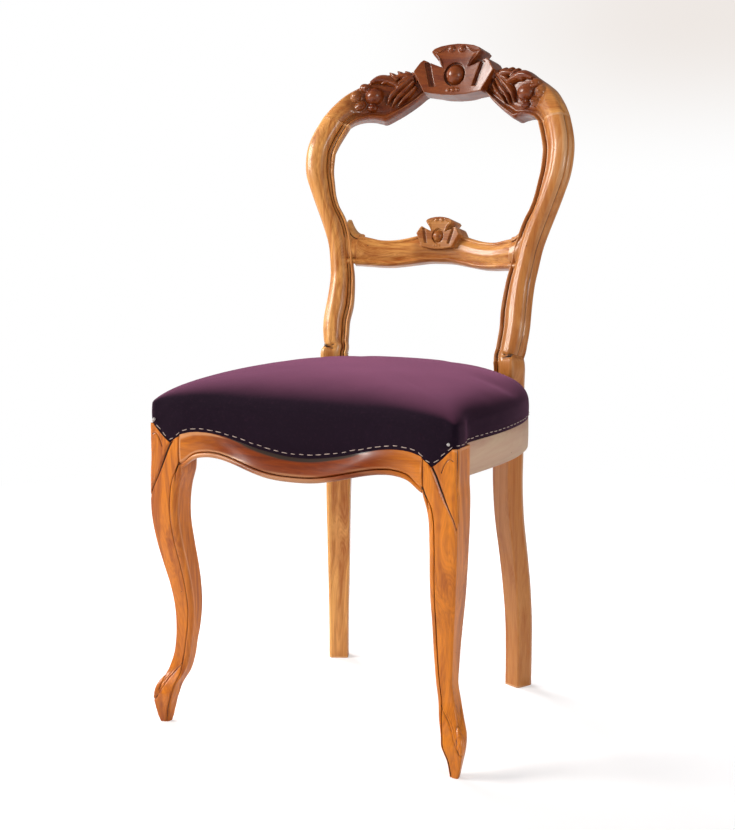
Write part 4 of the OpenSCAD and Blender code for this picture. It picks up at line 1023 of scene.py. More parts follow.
def pad_grid():
    hem = hem_loop()
    way = unit(np.roll(hem[:, :2], -2, 0) - np.roll(hem[:, :2], 2, 0))
    outward = np.stack([way[:, 1], -way[:, 0]], -1)
    soft = np.where(hem[:, 2] > RAIL_TOP, 0, 1)[:, None]
    soft = (np.roll(soft, 3, 0) + soft + np.roll(soft, -3, 0)) / 3
    rings = []
    for k in (0, 0.12, 0.25, 0.4, 0.55, 0.7, 0.82, 0.92, 1):
        out = BORDER_BULGE * along([0, 0.75, 1, 0.6, 0.1], k) * soft
        plan = hem[:, :2] + outward * out
        rings.append(np.column_stack([plan, mix(hem[:, 2], BORDER_TOP, k)]))
    for rounds, inset, rise in SHOULDER:
        plan = inset_plan(hem[:, :2], rounds, inset)
        lift = REAR_LIFT * ramp(plan[:, 1], 0, 120) * rise / SHOULDER[-1][2]
        rings.append(np.column_stack([plan, BORDER_TOP + rise + lift]))
    full = inset_plan(hem[:, :2], 110, 17.5) - SEAT_CENTRE
    angle = np.arctan2(full[:, 1], full[:, 0])
    a, b = SEAT_HALF_W * 0.93, (POST_REACH + FRONT_REACH) / 2
    oval = np.stack([np.cos(angle), np.sin(angle)], -1)
    oval /= np.sqrt((oval[:, 0] / a) ** 2 + (oval[:, 1] / b) ** 2)[:, None]
    for s in (0.97, 0.92, 0.86, 0.79, 0.72, 0.64, 0.56, 0.48, 0.4, 0.32, 0.24, 0.16, 0.08):
        plan = SEAT_CENTRE + mix(oval, full, s * s) * s
        z = mix(PAD_TOP, BORDER_TOP + SHOULDER[-1][2] + 5, s ** 3.0)
        lift = REAR_LIFT * ramp(plan[:, 1], 0, 120) * s * s
        rings.append(np.column_stack([plan, z + lift]))
    return np.array(rings)


def build_seat():
    rings = pad_grid()
    rows, columns = rings.shape[:2]
    last, middle = (rows - 1) * columns, rows * columns
    points = np.concatenate([rings.reshape(-1, 3), [[*SEAT_CENTRE, PAD_TOP]]])
    faces = sheet_faces(rows, columns)
    faces += [[last + i, last + (i + 1) % columns, middle] for i in range(columns)]
    return shade(make_object("stuffed_plum_seat", to_frame(points), faces), 180)


CLOTH_FRAMES = 20
HELD_RINGS = 2
SLACK_RINGS = 6
CALM_RINGS = 8


def swell_cloth(seat, columns, pressure):
    """Runs the cloth under pressure, its hem held, and applies the last frame."""
    held = seat.vertex_groups.new(name="held")
    held.add(list(range(columns * HELD_RINGS)), 1.0, "REPLACE")
    held.add(list(range(columns * HELD_RINGS, columns * SLACK_RINGS)), 0.4, "REPLACE")
    cloth = seat.modifiers.new("cloth", "CLOTH")
    fabric = cloth.settings
    fabric.quality = 6
    fabric.mass = 0.4
    fabric.tension_stiffness = 30
    fabric.compression_stiffness = 30
    fabric.shear_stiffness = 12
    fabric.bending_stiffness = 1.5
    fabric.use_pressure = True
    fabric.uniform_pressure_force = pressure
    fabric.vertex_group_mass = "held"
    fabric.effector_weights.gravity = 0
    cloth.collision_settings.use_collision = False
    cloth.collision_settings.use_self_collision = False
    cloth.point_cache.frame_start = 1
    cloth.point_cache.frame_end = CLOTH_FRAMES
    scene = bpy.context.scene
    scene.frame_start, scene.frame_end = 1, CLOTH_FRAMES
    for f in range(1, CLOTH_FRAMES + 1):
        scene.frame_set(f)
    bpy.context.view_layer.objects.active = seat
    bpy.ops.object.modifier_apply(modifier=cloth.name)
    scene.frame_set(1)


def puff(seat, columns, pressure, limit):
    """Lets the cloth swell over its stuffing up to a limit, then calms its crown."""
    before = read_points(seat.data)
    swell_cloth(seat, columns, pressure)
    move = read_points(seat.data) - before
    length = np.linalg.norm(move, axis=-1, keepdims=True)
    move *= np.minimum(1, limit * MM / np.maximum(length, 1e-9))
    write_points(seat.data, before + move)
    crown = seat.vertex_groups.new(name="crown")
    count = len(seat.data.vertices)
    for k in range(CALM_RINGS, (count - 1) // columns):
        share = min(1.0, (k - CALM_RINGS + 1) / 3)
        crown.add(list(range(columns * k, columns * (k + 1))), share, "REPLACE")
    crown.add([count - 1], 1.0, "REPLACE")
    apply_modifier(seat, "SMOOTH", factor=0.5, iterations=14, vertex_group=crown.name)
    apply_modifier(seat, "SUBSURF", levels=1, render_levels=1)
    seat.data.shade_smooth()
    return seat


def walk(path, pitch, start=0.0):
    """Places and directions at even distances along a line of points."""
    step = np.linalg.norm(np.diff(path, axis=0), axis=-1)
    run = np.concatenate([[0], np.cumsum(step)])
    marks = np.arange(start, run[-1], pitch)
    places = np.stack([np.interp(marks, run, path[:, k]) for k in range(3)], -1)
    ahead = np.stack([np.interp(marks + 1, run, path[:, k]) for k in range(3)], -1)
    return places, unit(ahead - places + 1e-9)


STITCH_END = 112.0
STITCH_LIFT = 4.6
STITCH_PITCH = 12.4
STITCH_SIDES = 6


def on_cloth(tree, point, side):
    """Nearest place on the cloth, in millimetres, and the cloth's outward direction there."""
    place, normal, _, _ = tree.find_nearest(Vector(to_frame(point)))
    if place is None:
        raise RuntimeError("a stitch found no cloth")
    normal = np.array(normal)
    flat = np.array([place.x / MM, (place.y - DATUM_Y) / MM, place.z / MM])
    return flat, normal if normal @ side >= 0 else -normal


def build_stitches(seat):
    """Long running stitches of pale thread along the hem of the cover."""
    hem = hem_loop()
    count = int(np.argmax(hem[:, 1] > STITCH_END))
    path = np.concatenate([hem[-count:], hem[:count + 1]]) + [0, 0, STITCH_LIFT]
    rng = np.random.default_rng(11)
    tree = BVHTree.FromObject(seat, bpy.context.evaluated_depsgraph_get())
    t = np.linspace(-0.5, 0.5, 9)
    radius = 0.55 * np.sqrt(np.clip(1 - (2 * t) ** 6, 0.12, 1))
    arch = 0.15 + 0.45 * np.cos(np.pi * t)
    around = np.linspace(0, 2 * math.pi, STITCH_SIDES + 1)[:-1]
    points, faces = [], []
    for place, way in zip(*walk(path, STITCH_PITCH, 3.0)):
        length = 7.6 + rng.uniform(-1.4, 1.2)
        rise = rng.uniform(-0.5, 0.5)
        side = unit(np.array([way[1], -way[0], 0]))
        line = place + way * (t * length)[:, None] + [0, 0, rise]
        base = len(points)
        for i in range(len(t)):
            on, normal = on_cloth(tree, line[i], side)
            up = unit(np.cross(normal, way))
            centre = on + normal * arch[i]
            for a in around:
                points.append(centre + radius[i] * (normal * math.cos(a) + up * math.sin(a)))
        faces += [[base + k for k in face] for face in solid_faces(len(t), STITCH_SIDES)]
    return shade(make_object("hem_stitches", to_frame(points), faces), 60)


# Materials

def rgb(value):
    return (*value[:3], 1.0)


def add(tree, kind, inputs=None, **settings):
    """Adds a shader node; inputs are numbers, colours or sockets to link from."""
    node = tree.nodes.new(kind)
    for key, value in settings.items():
        setattr(node, key, value)
    for key, value in (inputs or {}).items():
        socket = node.inputs[key]
        if isinstance(value, bpy.types.NodeSocket):
            tree.links.new(value, socket)
        else:
            socket.default_value = value
    return node


def group(name, inputs, outputs):
    """Empty shader node group with the named sockets."""
    tree = bpy.data.node_groups.new(name, "ShaderNodeTree")
    for label, kind, value in inputs:
        socket = tree.interface.new_socket(label, in_out="INPUT", socket_type=kind)
        if value is not None:
            socket.default_value = value
    for label, kind in outputs:
        tree.interface.new_socket(label, in_out="OUTPUT", socket_type=kind)
    return tree, tree.nodes.new("NodeGroupInput"), tree.nodes.new("NodeGroupOutput")


def math_node(tree, operation, a, b=0.0, c=0.0, clamp=False):
    node = add(tree, "ShaderNodeMath", {0: a, 1: b, 2: c}, operation=operation)
    node.use_clamp = clamp
    return node.outputs[0]


def map_range(tree, value, low, high):
    """Smooth step from 0 at low to 1 at high, which may also lie below low."""
    node = add(tree, "ShaderNodeMapRange", {"Value": value, "From Min": low, "From Max": high},
               interpolation_type="SMOOTHSTEP")
    return node.outputs["Result"]


def times(tree, a, b, clamp=False):
    return math_node(tree, "MULTIPLY", a, b, clamp=clamp)


def noise(tree, vector, scale, detail, roughness=0.5):
    return add(tree, "ShaderNodeTexNoise", {"Vector": vector, "Scale": scale, "Detail": detail,
                                            "Roughness": roughness})


def bump(tree, height, strength, distance):
    return add(tree, "ShaderNodeBump", {"Strength": strength, "Distance": distance,
                                        "Height": height}).outputs[0]


def blend(tree, factor, a, b, kind="MIX"):
    node = add(tree, "ShaderNodeMix", {"Factor": factor}, data_type="RGBA", blend_type=kind)
    for index, value in ((6, a), (7, b)):
        if isinstance(value, bpy.types.NodeSocket):
            tree.links.new(value, node.inputs[index])
        else:
            node.inputs[index].default_value = value
    return node.outputs[2]


VECTOR = "NodeSocketVector"
COLOUR = "NodeSocketColor"
FLOAT = "NodeSocketFloat"


def wood_group():
    """Figured wood with fibres and pores, stain, grime and painted shade in its hollows, worn rims with
    painted highlights, and worm holes.
    """
    tree, inside, outside = group(
        "Aged wood",
        [("Vector", VECTOR, None), ("Light", COLOUR, (0.6, 0.3, 0.1, 1)),
         ("Dark", COLOUR, (0.2, 0.08, 0.03, 1)), ("Grime And Shade", COLOUR, (0.03, 0.015, 0.008, 1)),
         ("Figure", FLOAT, 0.5), ("Dirt", FLOAT, 1.0), ("Wear", FLOAT, 0.5), ("Holes", FLOAT, 1.0),
         ("Stain", COLOUR, (0.1, 0.03, 0.01, 1)), ("Stain Share", FLOAT, 0.0),
         ("Stain From", FLOAT, 0.1), ("Stain To", FLOAT, 0.2)],
        [("Color", COLOUR), ("Roughness", FLOAT), ("Height", FLOAT)])
    at = inside.outputs
    grain = at["Vector"]
    warp = noise(tree, grain, 9.0, 3.0).outputs["Color"]
    moved = add(tree, "ShaderNodeVectorMath", {0: warp, 1: warp, 2: grain},
                operation="MULTIPLY_ADD").outputs[0]
    figure = noise(tree, moved, 22.0, 5.0, 0.55).outputs["Fac"]
    bands = add(tree, "ShaderNodeTexWave", {"Vector": moved, "Scale": 42.0, "Distortion": 5.0,
                                            "Detail": 3.0, "Detail Scale": 1.2},
                wave_type="BANDS", bands_direction="DIAGONAL").outputs["Fac"]
    fibre = noise(tree, grain, 420.0, 3.0, 0.6).outputs["Fac"]
    cloud = map_range(tree, noise(tree, grain, 4.0, 2.0).outputs["Fac"], 0.35, 0.65)
    tone = math_node(tree, "ADD", map_range(tree, figure, 0.32, 0.7),
                     times(tree, times(tree, bands, at["Figure"]), 0.5))
    tone = math_node(tree, "ADD", times(tree, tone, 0.62), times(tree, cloud, 0.3))
    tone = math_node(tree, "ADD", tone, math_node(tree, "MULTIPLY_ADD", fibre, 0.5, -0.25), clamp=True)
    colour = blend(tree, tone, at["Light"], at["Dark"])
    place = add(tree, "ShaderNodeTexCoord").outputs["Object"]
    across = add(tree, "ShaderNodeSeparateXYZ", {0: place}).outputs[0]
    across = math_node(tree, "ADD", math_node(tree, "ABSOLUTE", across),
                       math_node(tree, "MULTIPLY_ADD", figure, 0.05, -0.025))
    stained = times(tree, map_range(tree, across, at["Stain To"], at["Stain From"]),
                    at["Stain Share"], clamp=True)
    colour = blend(tree, stained, colour, blend(tree, 1.0, colour, at["Stain"], "MULTIPLY"))
    pore = map_range(tree, noise(tree, grain, 760.0, 1.0).outputs["Fac"], 0.66, 0.74)
    colour = blend(tree, times(tree, pore, 0.35), colour, at["Dark"])
    # Grime and painted shade: hollows of the carving darken towards the grime colour, standing in for the
    # shade that falls in them
    sunk = add(tree, "ShaderNodeAttribute", attribute_name="cavity").outputs["Fac"]
    dirt_and_shade = times(tree, map_range(tree, sunk, 0.06, 0.9), at["Dirt"], clamp=True)
    colour = blend(tree, dirt_and_shade, colour, at["Grime And Shade"])
    # Worn rims and painted highlights: raised edges turn pale, partly for wear and partly for the light
    # they catch
    patch = map_range(tree, noise(tree, grain, 30.0, 4.0).outputs["Fac"], 0.35, 0.65)
    rim = times(tree, times(tree, map_range(tree, sunk, -0.12, -0.8), patch), at["Wear"], clamp=True)
    colour = blend(tree, rim, colour, blend(tree, 0.45, at["Light"], (0.95, 0.75, 0.5, 1)))
    holes = add(tree, "ShaderNodeTexVoronoi", {"Vector": place, "Scale": 58.0, "Randomness": 1.0},
                feature="F1").outputs
    lot = add(tree, "ShaderNodeSeparateColor", {"Color": holes["Color"]}).outputs[0]
    hole = times(tree, map_range(tree, holes["Distance"], 0.052, 0.034),
                 map_range(tree, lot, 0.78, 0.8))
    hole = times(tree, hole, at["Holes"], clamp=True)
    colour = blend(tree, hole, colour, at["Grime And Shade"])
    rough = math_node(tree, "MULTIPLY_ADD", figure, 0.16, 0.27)
    rough = math_node(tree, "ADD", rough, times(tree, dirt_and_shade, 0.35), clamp=True)
    height = math_node(tree, "MULTIPLY_ADD", fibre, 0.25, times(tree, pore, -0.5))
    height = math_node(tree, "SUBTRACT", height, times(tree, hole, 3.0))
    tree.links.new(colour, outside.inputs["Color"])
    tree.links.new(rough, outside.inputs["Roughness"])
    tree.links.new(height, outside.inputs["Height"])
    return tree


def shared_group(name, maker):
    return bpy.data.node_groups.get(name) or maker()


def set_inputs(node, **values):
    """Sets inputs by their names, in which a low line stands for a space."""
    for key, value in values.items():
        node.inputs[key.replace("_", " ")].default_value = value


def new_material(name):
    material = bpy.data.materials.new(name)
    material.use_nodes = True
    tree = material.node_tree
    tree.nodes.clear()
    shader = tree.nodes.new("ShaderNodeBsdfPrincipled")
    output = tree.nodes.new("ShaderNodeOutputMaterial")
    tree.links.new(shader.outputs[0], output.inputs["Surface"])
    return material, tree, shader


def wood(name, light, dark, grain="z", figure=0.5, dirt_and_shade=1.0, wear_and_highlight=0.5, holes=1.0, gloss=0.3,
         rough=0.0, seed=0.0, stain=(1, 1, 1), share=0.0, reach=(0.1, 0.2)):
    material, tree, shader = new_material(name)
    place = add(tree, "ShaderNodeTexCoord")
    stretch = {"x": (0.07, 1, 1), "y": (1, 0.07, 1), "z": (1, 1, 0.07)}[grain]
    mapping = add(tree, "ShaderNodeMapping", {"Vector": place.outputs["Object"], "Scale": stretch,
                                              "Location": (seed, seed * 0.7, seed * 0.3)})
    look = tree.nodes.new("ShaderNodeGroup")
    look.node_tree = shared_group("Aged wood", wood_group)
    tree.links.new(mapping.outputs[0], look.inputs["Vector"])
    set_inputs(look, Light=rgb(light), Dark=rgb(dark), Figure=figure, Dirt=dirt_and_shade, Wear=wear_and_highlight, Holes=holes,
               Stain=rgb(stain), Stain_Share=share, Stain_From=reach[0], Stain_To=reach[1])
    tree.links.new(look.outputs["Color"], shader.inputs["Base Color"])
    tree.links.new(math_node(tree, "ADD", look.outputs["Roughness"], rough, clamp=True),
                   shader.inputs["Roughness"])
    tree.links.new(bump(tree, look.outputs["Height"], 0.35, 0.0004), shader.inputs["Normal"])
    set_inputs(shader, Specular_IOR_Level=0.3, Coat_Weight=gloss, Coat_Roughness=0.16)
    return material


def wool_group():
    """Plain weave of two yarns with fuzz, faint faded patches, and painted top light, a pale bloom, on
    all that faces up.
    """
    tree, inside, outside = group(
        "Wool weave",
        [("Vector", VECTOR, None), ("Yarn", COLOUR, (0.08, 0.02, 0.06, 1)),
         ("Shade", COLOUR, (0.03, 0.01, 0.03, 1)), ("Fade", COLOUR, (0.2, 0.1, 0.15, 1)),
         ("Thread", FLOAT, 260.0)],
        [("Color", COLOUR), ("Height", FLOAT)])
    at = inside.outputs
    place = at["Vector"]
    waves = [add(tree, "ShaderNodeTexWave", {"Vector": place, "Scale": at["Thread"],
                                             "Distortion": 1.0, "Detail": 2.0},
                 wave_type="BANDS", bands_direction=way).outputs["Fac"] for way in "XYZ"]
    weave = math_node(tree, "MAXIMUM", math_node(tree, "MAXIMUM", waves[0], waves[1]), waves[2])
    fuzz = noise(tree, place, 1400.0, 2.0).outputs["Fac"]
    felt = map_range(tree, noise(tree, place, 260.0, 4.0, 0.7).outputs["Fac"], 0.5, 0.75)
    cloud = map_range(tree, noise(tree, place, 7.0, 4.0).outputs["Fac"], 0.42, 0.72)
    thread = math_node(tree, "MULTIPLY_ADD", map_range(tree, weave, 0.35, 1.0), 0.35, 0.5)
    colour = blend(tree, thread, at["Shade"], at["Yarn"])
    normal = add(tree, "ShaderNodeNewGeometry").outputs["Normal"]
    # Painted top light: the yarn turns to the pale bloom colour where the surface faces up, as if lit
    # from above
    up = map_range(tree, add(tree, "ShaderNodeSeparateXYZ", {0: normal}).outputs[2], 0.62, 1.0)
    top_light_share = math_node(tree, "MULTIPLY_ADD", cloud, 0.2, 0.75)
    colour = blend(tree, times(tree, up, top_light_share), colour, at["Fade"])
    colour = blend(tree, times(tree, felt, 0.08), colour, at["Fade"])
    height = math_node(tree, "ADD", times(tree, weave, 0.6), times(tree, fuzz, 0.8))
    tree.links.new(colour, outside.inputs["Color"])
    tree.links.new(height, outside.inputs["Height"])
    return tree


def wool(name, yarn, shade, fade, sheen):
    material, tree, shader = new_material(name)
    look = tree.nodes.new("ShaderNodeGroup")
    look.node_tree = shared_group("Wool weave", wool_group)
    tree.links.new(add(tree, "ShaderNodeTexCoord").outputs["Object"], look.inputs["Vector"])
    set_inputs(look, Yarn=rgb(yarn), Shade=rgb(shade), Fade=rgb(fade))
    tree.links.new(look.outputs["Color"], shader.inputs["Base Color"])
    tree.links.new(bump(tree, look.outputs["Height"], 0.4, 0.0003), shader.inputs["Normal"])
    set_inputs(shader, Roughness=0.88, Specular_IOR_Level=0.12, Sheen_Weight=0.27,
               Sheen_Roughness=0.4, Sheen_Tint=rgb(sheen))
    return material


def plain(name, colour, rough=0.5, metal=0.0, speck=0.25, scale=200.0):
    """Simple material with a little uneven tone."""
    material, tree, shader = new_material(name)
    uneven = noise(tree, add(tree, "ShaderNodeTexCoord").outputs["Object"], scale, 4.0).outputs["Fac"]
    dark = tuple(c * (1 - speck) for c in colour[:3])
    look = blend(tree, map_range(tree, uneven, 0.35, 0.65), rgb(colour), rgb(dark))
    tree.links.new(look, shader.inputs["Base Color"])
    tree.links.new(bump(tree, uneven, 0.2, 0.0003), shader.inputs["Normal"])
    set_inputs(shader, Roughness=rough, Metallic=metal)
    return material


# Sizes and colours that can be changed in the panel

def colour_property(name, description, default):
    return bpy.props.FloatVectorProperty(name=name, description=description, default=default,
                                         subtype="COLOR", size=3, min=0, max=1)


class ChairSettings(bpy.types.PropertyGroup):
    amber: colour_property("Leg wood", "Light tone of the front legs", (0.8, 0.24, 0.012))
    golden: colour_property("Post wood", "Light tone of the posts", (0.92, 0.46, 0.125))
    # Painted shade: the right post is the same wood as the left, given a darker tone because it stands
    # against the light
    shaded_right_post: colour_property("Right post", "Light tone of the darker right post", (0.6, 0.25, 0.065))
    warm_wood: colour_property("Post grain", "Dark tone of the posts and the middle rail",
                               (0.42, 0.12, 0.018))
    shadow_wood: colour_property("Dark grain", "Dark tone of the walnut", (0.36, 0.075, 0.006))
    stain: colour_property("Stain", "Tint over the carving and the middle of the front rail",
                           (0.3, 0.14, 0.07))
    pale_wood: colour_property("Seat rails", "Light tone of the matt side rails", (0.5, 0.28, 0.2))
    beech: colour_property("Beech", "Light tone of the hidden rails, blocks and dowels", (0.6, 0.45, 0.3))
    plum: colour_property("Cloth", "Yarn of the wool cover", (0.0085, 0.0026, 0.0098))
    plum_shade: colour_property("Cloth shade", "Gaps between the yarns", (0.004, 0.0014, 0.0052))
    # Pale bloom of the wool: painted top light on all that faces up, and faint faded patches
    plum_bloom_and_top_light: colour_property("Cloth bloom", "Worn, dusty tone of the wool", (0.105, 0.031, 0.062))
    plum_sheen: colour_property("Cloth sheen", "Tone of the nap against the light", (0.85, 0.31, 0.58))
    thread: colour_property("Thread", "Stitches along the hem", (0.55, 0.42, 0.36))
    floor: colour_property("Floor", "Tone of the studio floor", (0.66, 0.65, 0.66))
    pressure: bpy.props.FloatProperty(name="Stuffing", description="Pressure that fills the cover",
                                      default=1.8, min=0, max=20)
    swell: bpy.props.FloatProperty(name="Greatest swell", description="Most the cloth may move, in mm",
                                   default=4.0, min=0, max=20)


def settings():
    return bpy.context.scene.chair


# Operators

class CHAIR_OT_posts(bpy.types.Operator):
    """Moulded rear posts with their legs"""
    bl_idname = "chair.posts"
    bl_label = "Rear posts"

    def execute(self, context):
        right = cavity(build_post())
        left = mirrored(right, "carved_rear_post_left")
        s = settings()
        # The right post gets the darker tone as painted shade; the left post gets the plain post tone
        for obj, node, name, tone in ((right, "rear_post_right", "shaded_right_post_wood", s.shaded_right_post),
                                      (left, "rear_post_left", "golden_post_wood", s.golden)):
            dress(obj, wood(name, tone, s.warm_wood, "z", seed=0.4))
            finish_piece(obj, "golden_walnut", node)
        return {"FINISHED"}


class CHAIR_OT_crest(bpy.types.Operator):
    """Carved crest rail with its crown"""
    bl_idname = "chair.crest"
    bl_label = "Crest rail"

    def execute(self, context):
        s = settings()
        crest = build_crest()
        dress(crest, wood("crest_wood", s.golden, s.warm_wood, "x", wear_and_highlight=0.45, gloss=0.5, seed=1.3,
                          stain=s.stain, share=1.0, reach=(0.128, 0.185)))
        finish_piece(crest, "crest_walnut", "crest_rail")
        return {"FINISHED"}


class CHAIR_OT_mid_rail(bpy.types.Operator):
    """Carved middle rail with its small fan"""
    bl_idname = "chair.mid_rail"
    bl_label = "Middle rail"

    def execute(self, context):
        s = settings()
        rail = build_mid_rail()
        dress(rail, wood("mid_rail_wood", s.golden, s.warm_wood, "x", seed=2.1, stain=s.stain,
                         share=0.45, reach=(0.03, 0.045)))
        finish_piece(rail, "golden_walnut", "mid_rail")
        return {"FINISHED"}


class CHAIR_OT_legs(bpy.types.Operator):
    """Carved front legs"""
    bl_idname = "chair.legs"
    bl_label = "Front legs"

    def execute(self, context):
        s = settings()
        right = cavity(build_front_leg())
        left = mirrored(right, "carved_front_leg_left")
        look = wood("amber_leg_wood", s.amber, s.shadow_wood, "z", seed=3.2)
        for obj, node in ((right, "front_leg_right"), (left, "front_leg_left")):
            dress(obj, look)
            finish_piece(obj, "carved_walnut", node)
        return {"FINISHED"}


class CHAIR_OT_rails(bpy.types.Operator):
    """Front, side and rear seat rails"""
    bl_idname = "chair.rails"
    bl_label = "Seat rails"

    def execute(self, context):
        s = settings()
        front = cavity(build_front_rail())
        dress(front, wood("front_rail_wood", s.amber, s.shadow_wood, "x", seed=4.4, stain=s.stain,
                          share=0.95, reach=(0.095, 0.185)))
        finish_piece(front, "carved_walnut", "front_seat_rail")
        right = cavity(build_side_rail())
        left = mirrored(right, "curved_side_rail_left")
        pale = wood("pale_rail_finish", s.pale_wood, s.beech, "y", dirt_and_shade=0.5, gloss=0.0, rough=0.25,
                    seed=5.5)
        for obj, node in ((right, "side_seat_rail_right"), (left, "side_seat_rail_left")):
            dress(obj, pale)
            finish_piece(obj, "pale_rail_wood", node)
        rear = cavity(build_rear_rail())
        dress(rear, wood("rear_rail_wood", s.beech, s.pale_wood, "x", gloss=0.0, rough=0.25, seed=6.1))
        finish_piece(rear, "frame_beech", "rear_seat_rail")
        return {"FINISHED"}


class CHAIR_OT_seat(bpy.types.Operator):
    """Stuffed seat in plum wool, with the stitches of its hem"""
    bl_idname = "chair.seat"
    bl_label = "Seat"

    def execute(self, context):
        s = settings()
        seat = build_seat()
        puff(seat, len(hem_loop()), s.pressure, s.swell)
        dress(seat, wool("plum_wool", s.plum, s.plum_shade, s.plum_bloom_and_top_light, s.plum_sheen))
        finish_piece(seat, "plum_cloth", "seat_cover", "seat_stuffing")
        stitches = build_stitches(seat)
        dress(stitches, plain("hem_thread", s.thread, 0.8, scale=900.0))
        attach(stitches, "root")
        return {"FINISHED"}


PLAIN_LOOKS = {
    "crest_dowels": "dowel", "mid_rail_dowels": "dowel", "front_rail_dowels": "dowel",
    "side_rail_dowels": "dowel", "rear_rail_dowels": "dowel",
    "corner_block_front_left": "block", "corner_block_front_right": "block",
    "corner_block_rear_left": "block", "corner_block_rear_right": "block",
    "corner_block_screws": "screw", "webbing_lengthwise": "webbing", "webbing_crosswise": "webbing",
    "webbing_tacks": "tack", "hessian_sheet": "hessian", "seat_stuffing": "stuffing",
    "corner_pins": "pin",
}


class CHAIR_OT_kept_parts(bpy.types.Operator):
    """Materials of the parts that keep the shape of the frame"""
    bl_idname = "chair.kept_parts"
    bl_label = "Kept parts"

    def execute(self, context):
        s = settings()
        looks = {
            "dowel": wood("dowel_wood", s.beech, s.pale_wood, "x", gloss=0.0, rough=0.3, holes=0.0),
            "block": wood("block_wood", s.beech, s.pale_wood, "x", gloss=0.0, rough=0.3, holes=0.3,
                          seed=7),
            "screw": plain("dull_screw_steel", (0.42, 0.4, 0.38), 0.42, 1.0),
            "webbing": plain("jute_webbing_cloth", (0.55, 0.43, 0.27), 0.9),
            "tack": plain("blued_tack_steel", (0.12, 0.12, 0.13), 0.4, 1.0),
            "hessian": plain("hessian_cloth", (0.5, 0.38, 0.23), 0.95),
            "stuffing": plain("hair_stuffing", (0.35, 0.28, 0.2), 0.95),
            "pin": plain("white_pin_heads", (0.5, 0.47, 0.45), 0.35, 0.0, 0.05),
        }
        for node, look in PLAIN_LOOKS.items():
            dress(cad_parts[node], looks[look])
        return {"FINISHED"}


CAMERA_AT = (0.968, DATUM_Y - 1.8338, 0.726)
CAMERA_TO = (-0.0018, DATUM_Y - 0.001, 0.411)
CAMERA_LENS = 66.92
WHITE = (1, 1, 1, 1)
BACKDROP = (0.86, 0.81, 0.775, 1)
FLOOR_GLOW = 0.42
FLOOR_FADE = (0.7, 1.8)
LIGHTS = [
    ("key", (-2.3, -1.5, 1.8), (0, 0, 0.5), 1.1, 92, (1, 0.97, 0.93)),
    ("back", (-2.2, 1.2, 2.3), (0, 0, 0.45), 1.6, 110, (1, 1, 1)),
    ("fill", (2.3, -1.2, 1.2), (0, 0, 0.55), 0.7, 20, (1, 0.98, 0.96)),
]


def mix_shaders(tree, factor, first, second):
    both = add(tree, "ShaderNodeMixShader", {0: factor})
    tree.links.new(first.outputs[0], both.inputs[1])
    tree.links.new(second.outputs[0], both.inputs[2])
    return both


def floor_paint(tone):
    """Soft floor near the chair that the camera sees turn white further away."""
    material, tree, shader = new_material("studio_floor_paint")
    set_inputs(shader, Base_Color=rgb(tone), Roughness=0.9, Specular_IOR_Level=0.1,
               Emission_Color=WHITE)
    seen = add(tree, "ShaderNodeLightPath").outputs["Is Camera Ray"]
    tree.links.new(times(tree, seen, FLOOR_GLOW), shader.inputs["Emission Strength"])
    place = add(tree, "ShaderNodeTexCoord").outputs["Object"]
    away = add(tree, "ShaderNodeVectorMath", {0: place}, operation="LENGTH").outputs["Value"]
    far = times(tree, map_range(tree, away, *FLOOR_FADE), seen)
    white = add(tree, "ShaderNodeEmission", {"Color": WHITE, "Strength": 1.0})
    both = mix_shaders(tree, far, shader, white)
    tree.links.new(both.outputs[0], tree.nodes["Material Output"].inputs["Surface"])
    return material


def studio_world():
    """Pale sky, dimmer in reflections, with a warm corner that only the camera sees."""
    world = bpy.data.worlds.new("studio_white")
    world.use_nodes = True
    tree = world.node_tree
    tree.nodes.clear()
    sky = add(tree, "ShaderNodeBackground", {"Color": (0.97, 0.98, 1.0, 1), "Strength": 0.34})
    shine = add(tree, "ShaderNodeBackground", {"Color": (1.0, 0.98, 0.96, 1), "Strength": 0.24})
    way = add(tree, "ShaderNodeTexCoord").outputs["Generated"]
    right = add(tree, "ShaderNodeVectorMath", {0: way, 1: (0.884, 0.467, 0)},
                operation="DOT_PRODUCT").outputs["Value"]
    high = add(tree, "ShaderNodeSeparateXYZ", {0: way}).outputs[2]
    tint = times(tree, map_range(tree, right, -0.02, 0.2), map_range(tree, high, 0.0, 0.1))
    seen = add(tree, "ShaderNodeBackground", {"Color": blend(tree, tint, WHITE, BACKDROP),
                                              "Strength": 1.0})
    ray = add(tree, "ShaderNodeLightPath").outputs
    lit = mix_shaders(tree, ray["Is Glossy Ray"], sky, shine)
    both = mix_shaders(tree, ray["Is Camera Ray"], lit, seen)
    tree.links.new(both.outputs[0], add(tree, "ShaderNodeOutputWorld").inputs["Surface"])
    return world


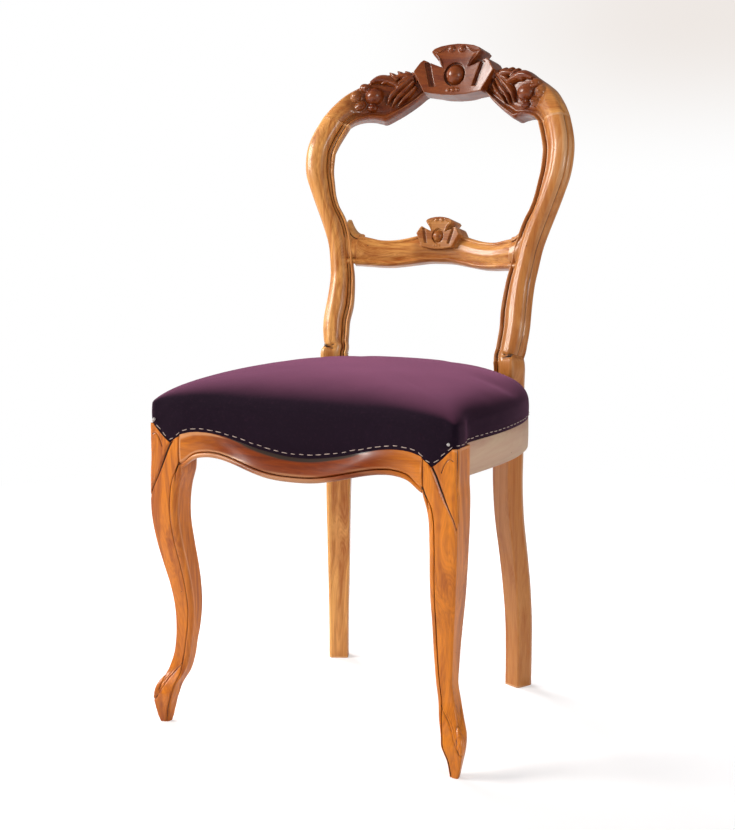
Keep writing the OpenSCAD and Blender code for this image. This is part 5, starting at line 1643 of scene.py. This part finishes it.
def place_in_studio(name, data, place, target):
    """Adds a lamp or camera that looks from a place to a target."""
    obj = bpy.data.objects.new(name, data)
    obj.location = place
    obj.rotation_euler = (Vector(target) - Vector(place)).to_track_quat("-Z", "Y").to_euler()
    bpy.context.scene.collection.objects.link(obj)
    return obj


class CHAIR_OT_stage(bpy.types.Operator):
    """White studio with a soft light from the left"""
    bl_idname = "chair.stage"
    bl_label = "Studio"

    def execute(self, context):
        bpy.ops.mesh.primitive_plane_add(size=60)
        floor = context.object
        floor.name = "studio_floor"
        dress(floor, floor_paint(settings().floor))
        scene = context.scene
        scene.world = studio_world()
        for name, place, target, size, power, colour in LIGHTS:
            lamp = bpy.data.lights.new(name, "AREA")
            lamp.size = size
            lamp.energy = power
            lamp.color = colour
            obj = place_in_studio(name + "_light", lamp, place, target)
            obj.visible_glossy = name != "back"
        camera = bpy.data.cameras.new("photo_camera")
        camera.lens = CAMERA_LENS
        camera.sensor_width = 36
        camera.clip_end = 200
        scene.camera = place_in_studio("photo_camera", camera, CAMERA_AT, CAMERA_TO)
        scene.view_settings.view_transform = "Standard"
        return {"FINISHED"}


OPERATORS = (CHAIR_OT_posts, CHAIR_OT_crest, CHAIR_OT_mid_rail, CHAIR_OT_legs, CHAIR_OT_rails,
             CHAIR_OT_seat, CHAIR_OT_kept_parts, CHAIR_OT_stage)


class CHAIR_PT_panel(bpy.types.Panel):
    """Sizes, colours and building steps of the chair"""
    bl_idname = "CHAIR_PT_panel"
    bl_label = "Balloon back chair"
    bl_space_type = "VIEW_3D"
    bl_region_type = "UI"
    bl_category = "Chair"

    def draw(self, context):
        box = self.layout.box()
        for key in ChairSettings.__annotations__:
            box.prop(context.scene.chair, key)
        for operator in OPERATORS:
            self.layout.operator(operator.bl_idname)


def register():
    for cls in (ChairSettings, *OPERATORS, CHAIR_PT_panel):
        bpy.utils.register_class(cls)
    bpy.types.Scene.chair = bpy.props.PointerProperty(type=ChairSettings)


def unregister():
    del bpy.types.Scene.chair
    for cls in (CHAIR_PT_panel, *OPERATORS[::-1], ChairSettings):
        bpy.utils.unregister_class(cls)


def main():
    register()
    for operator in OPERATORS:
        group_name, step = operator.bl_idname.split(".")
        getattr(getattr(bpy.ops, group_name), step)()


if __name__ == "__main__":
    main()
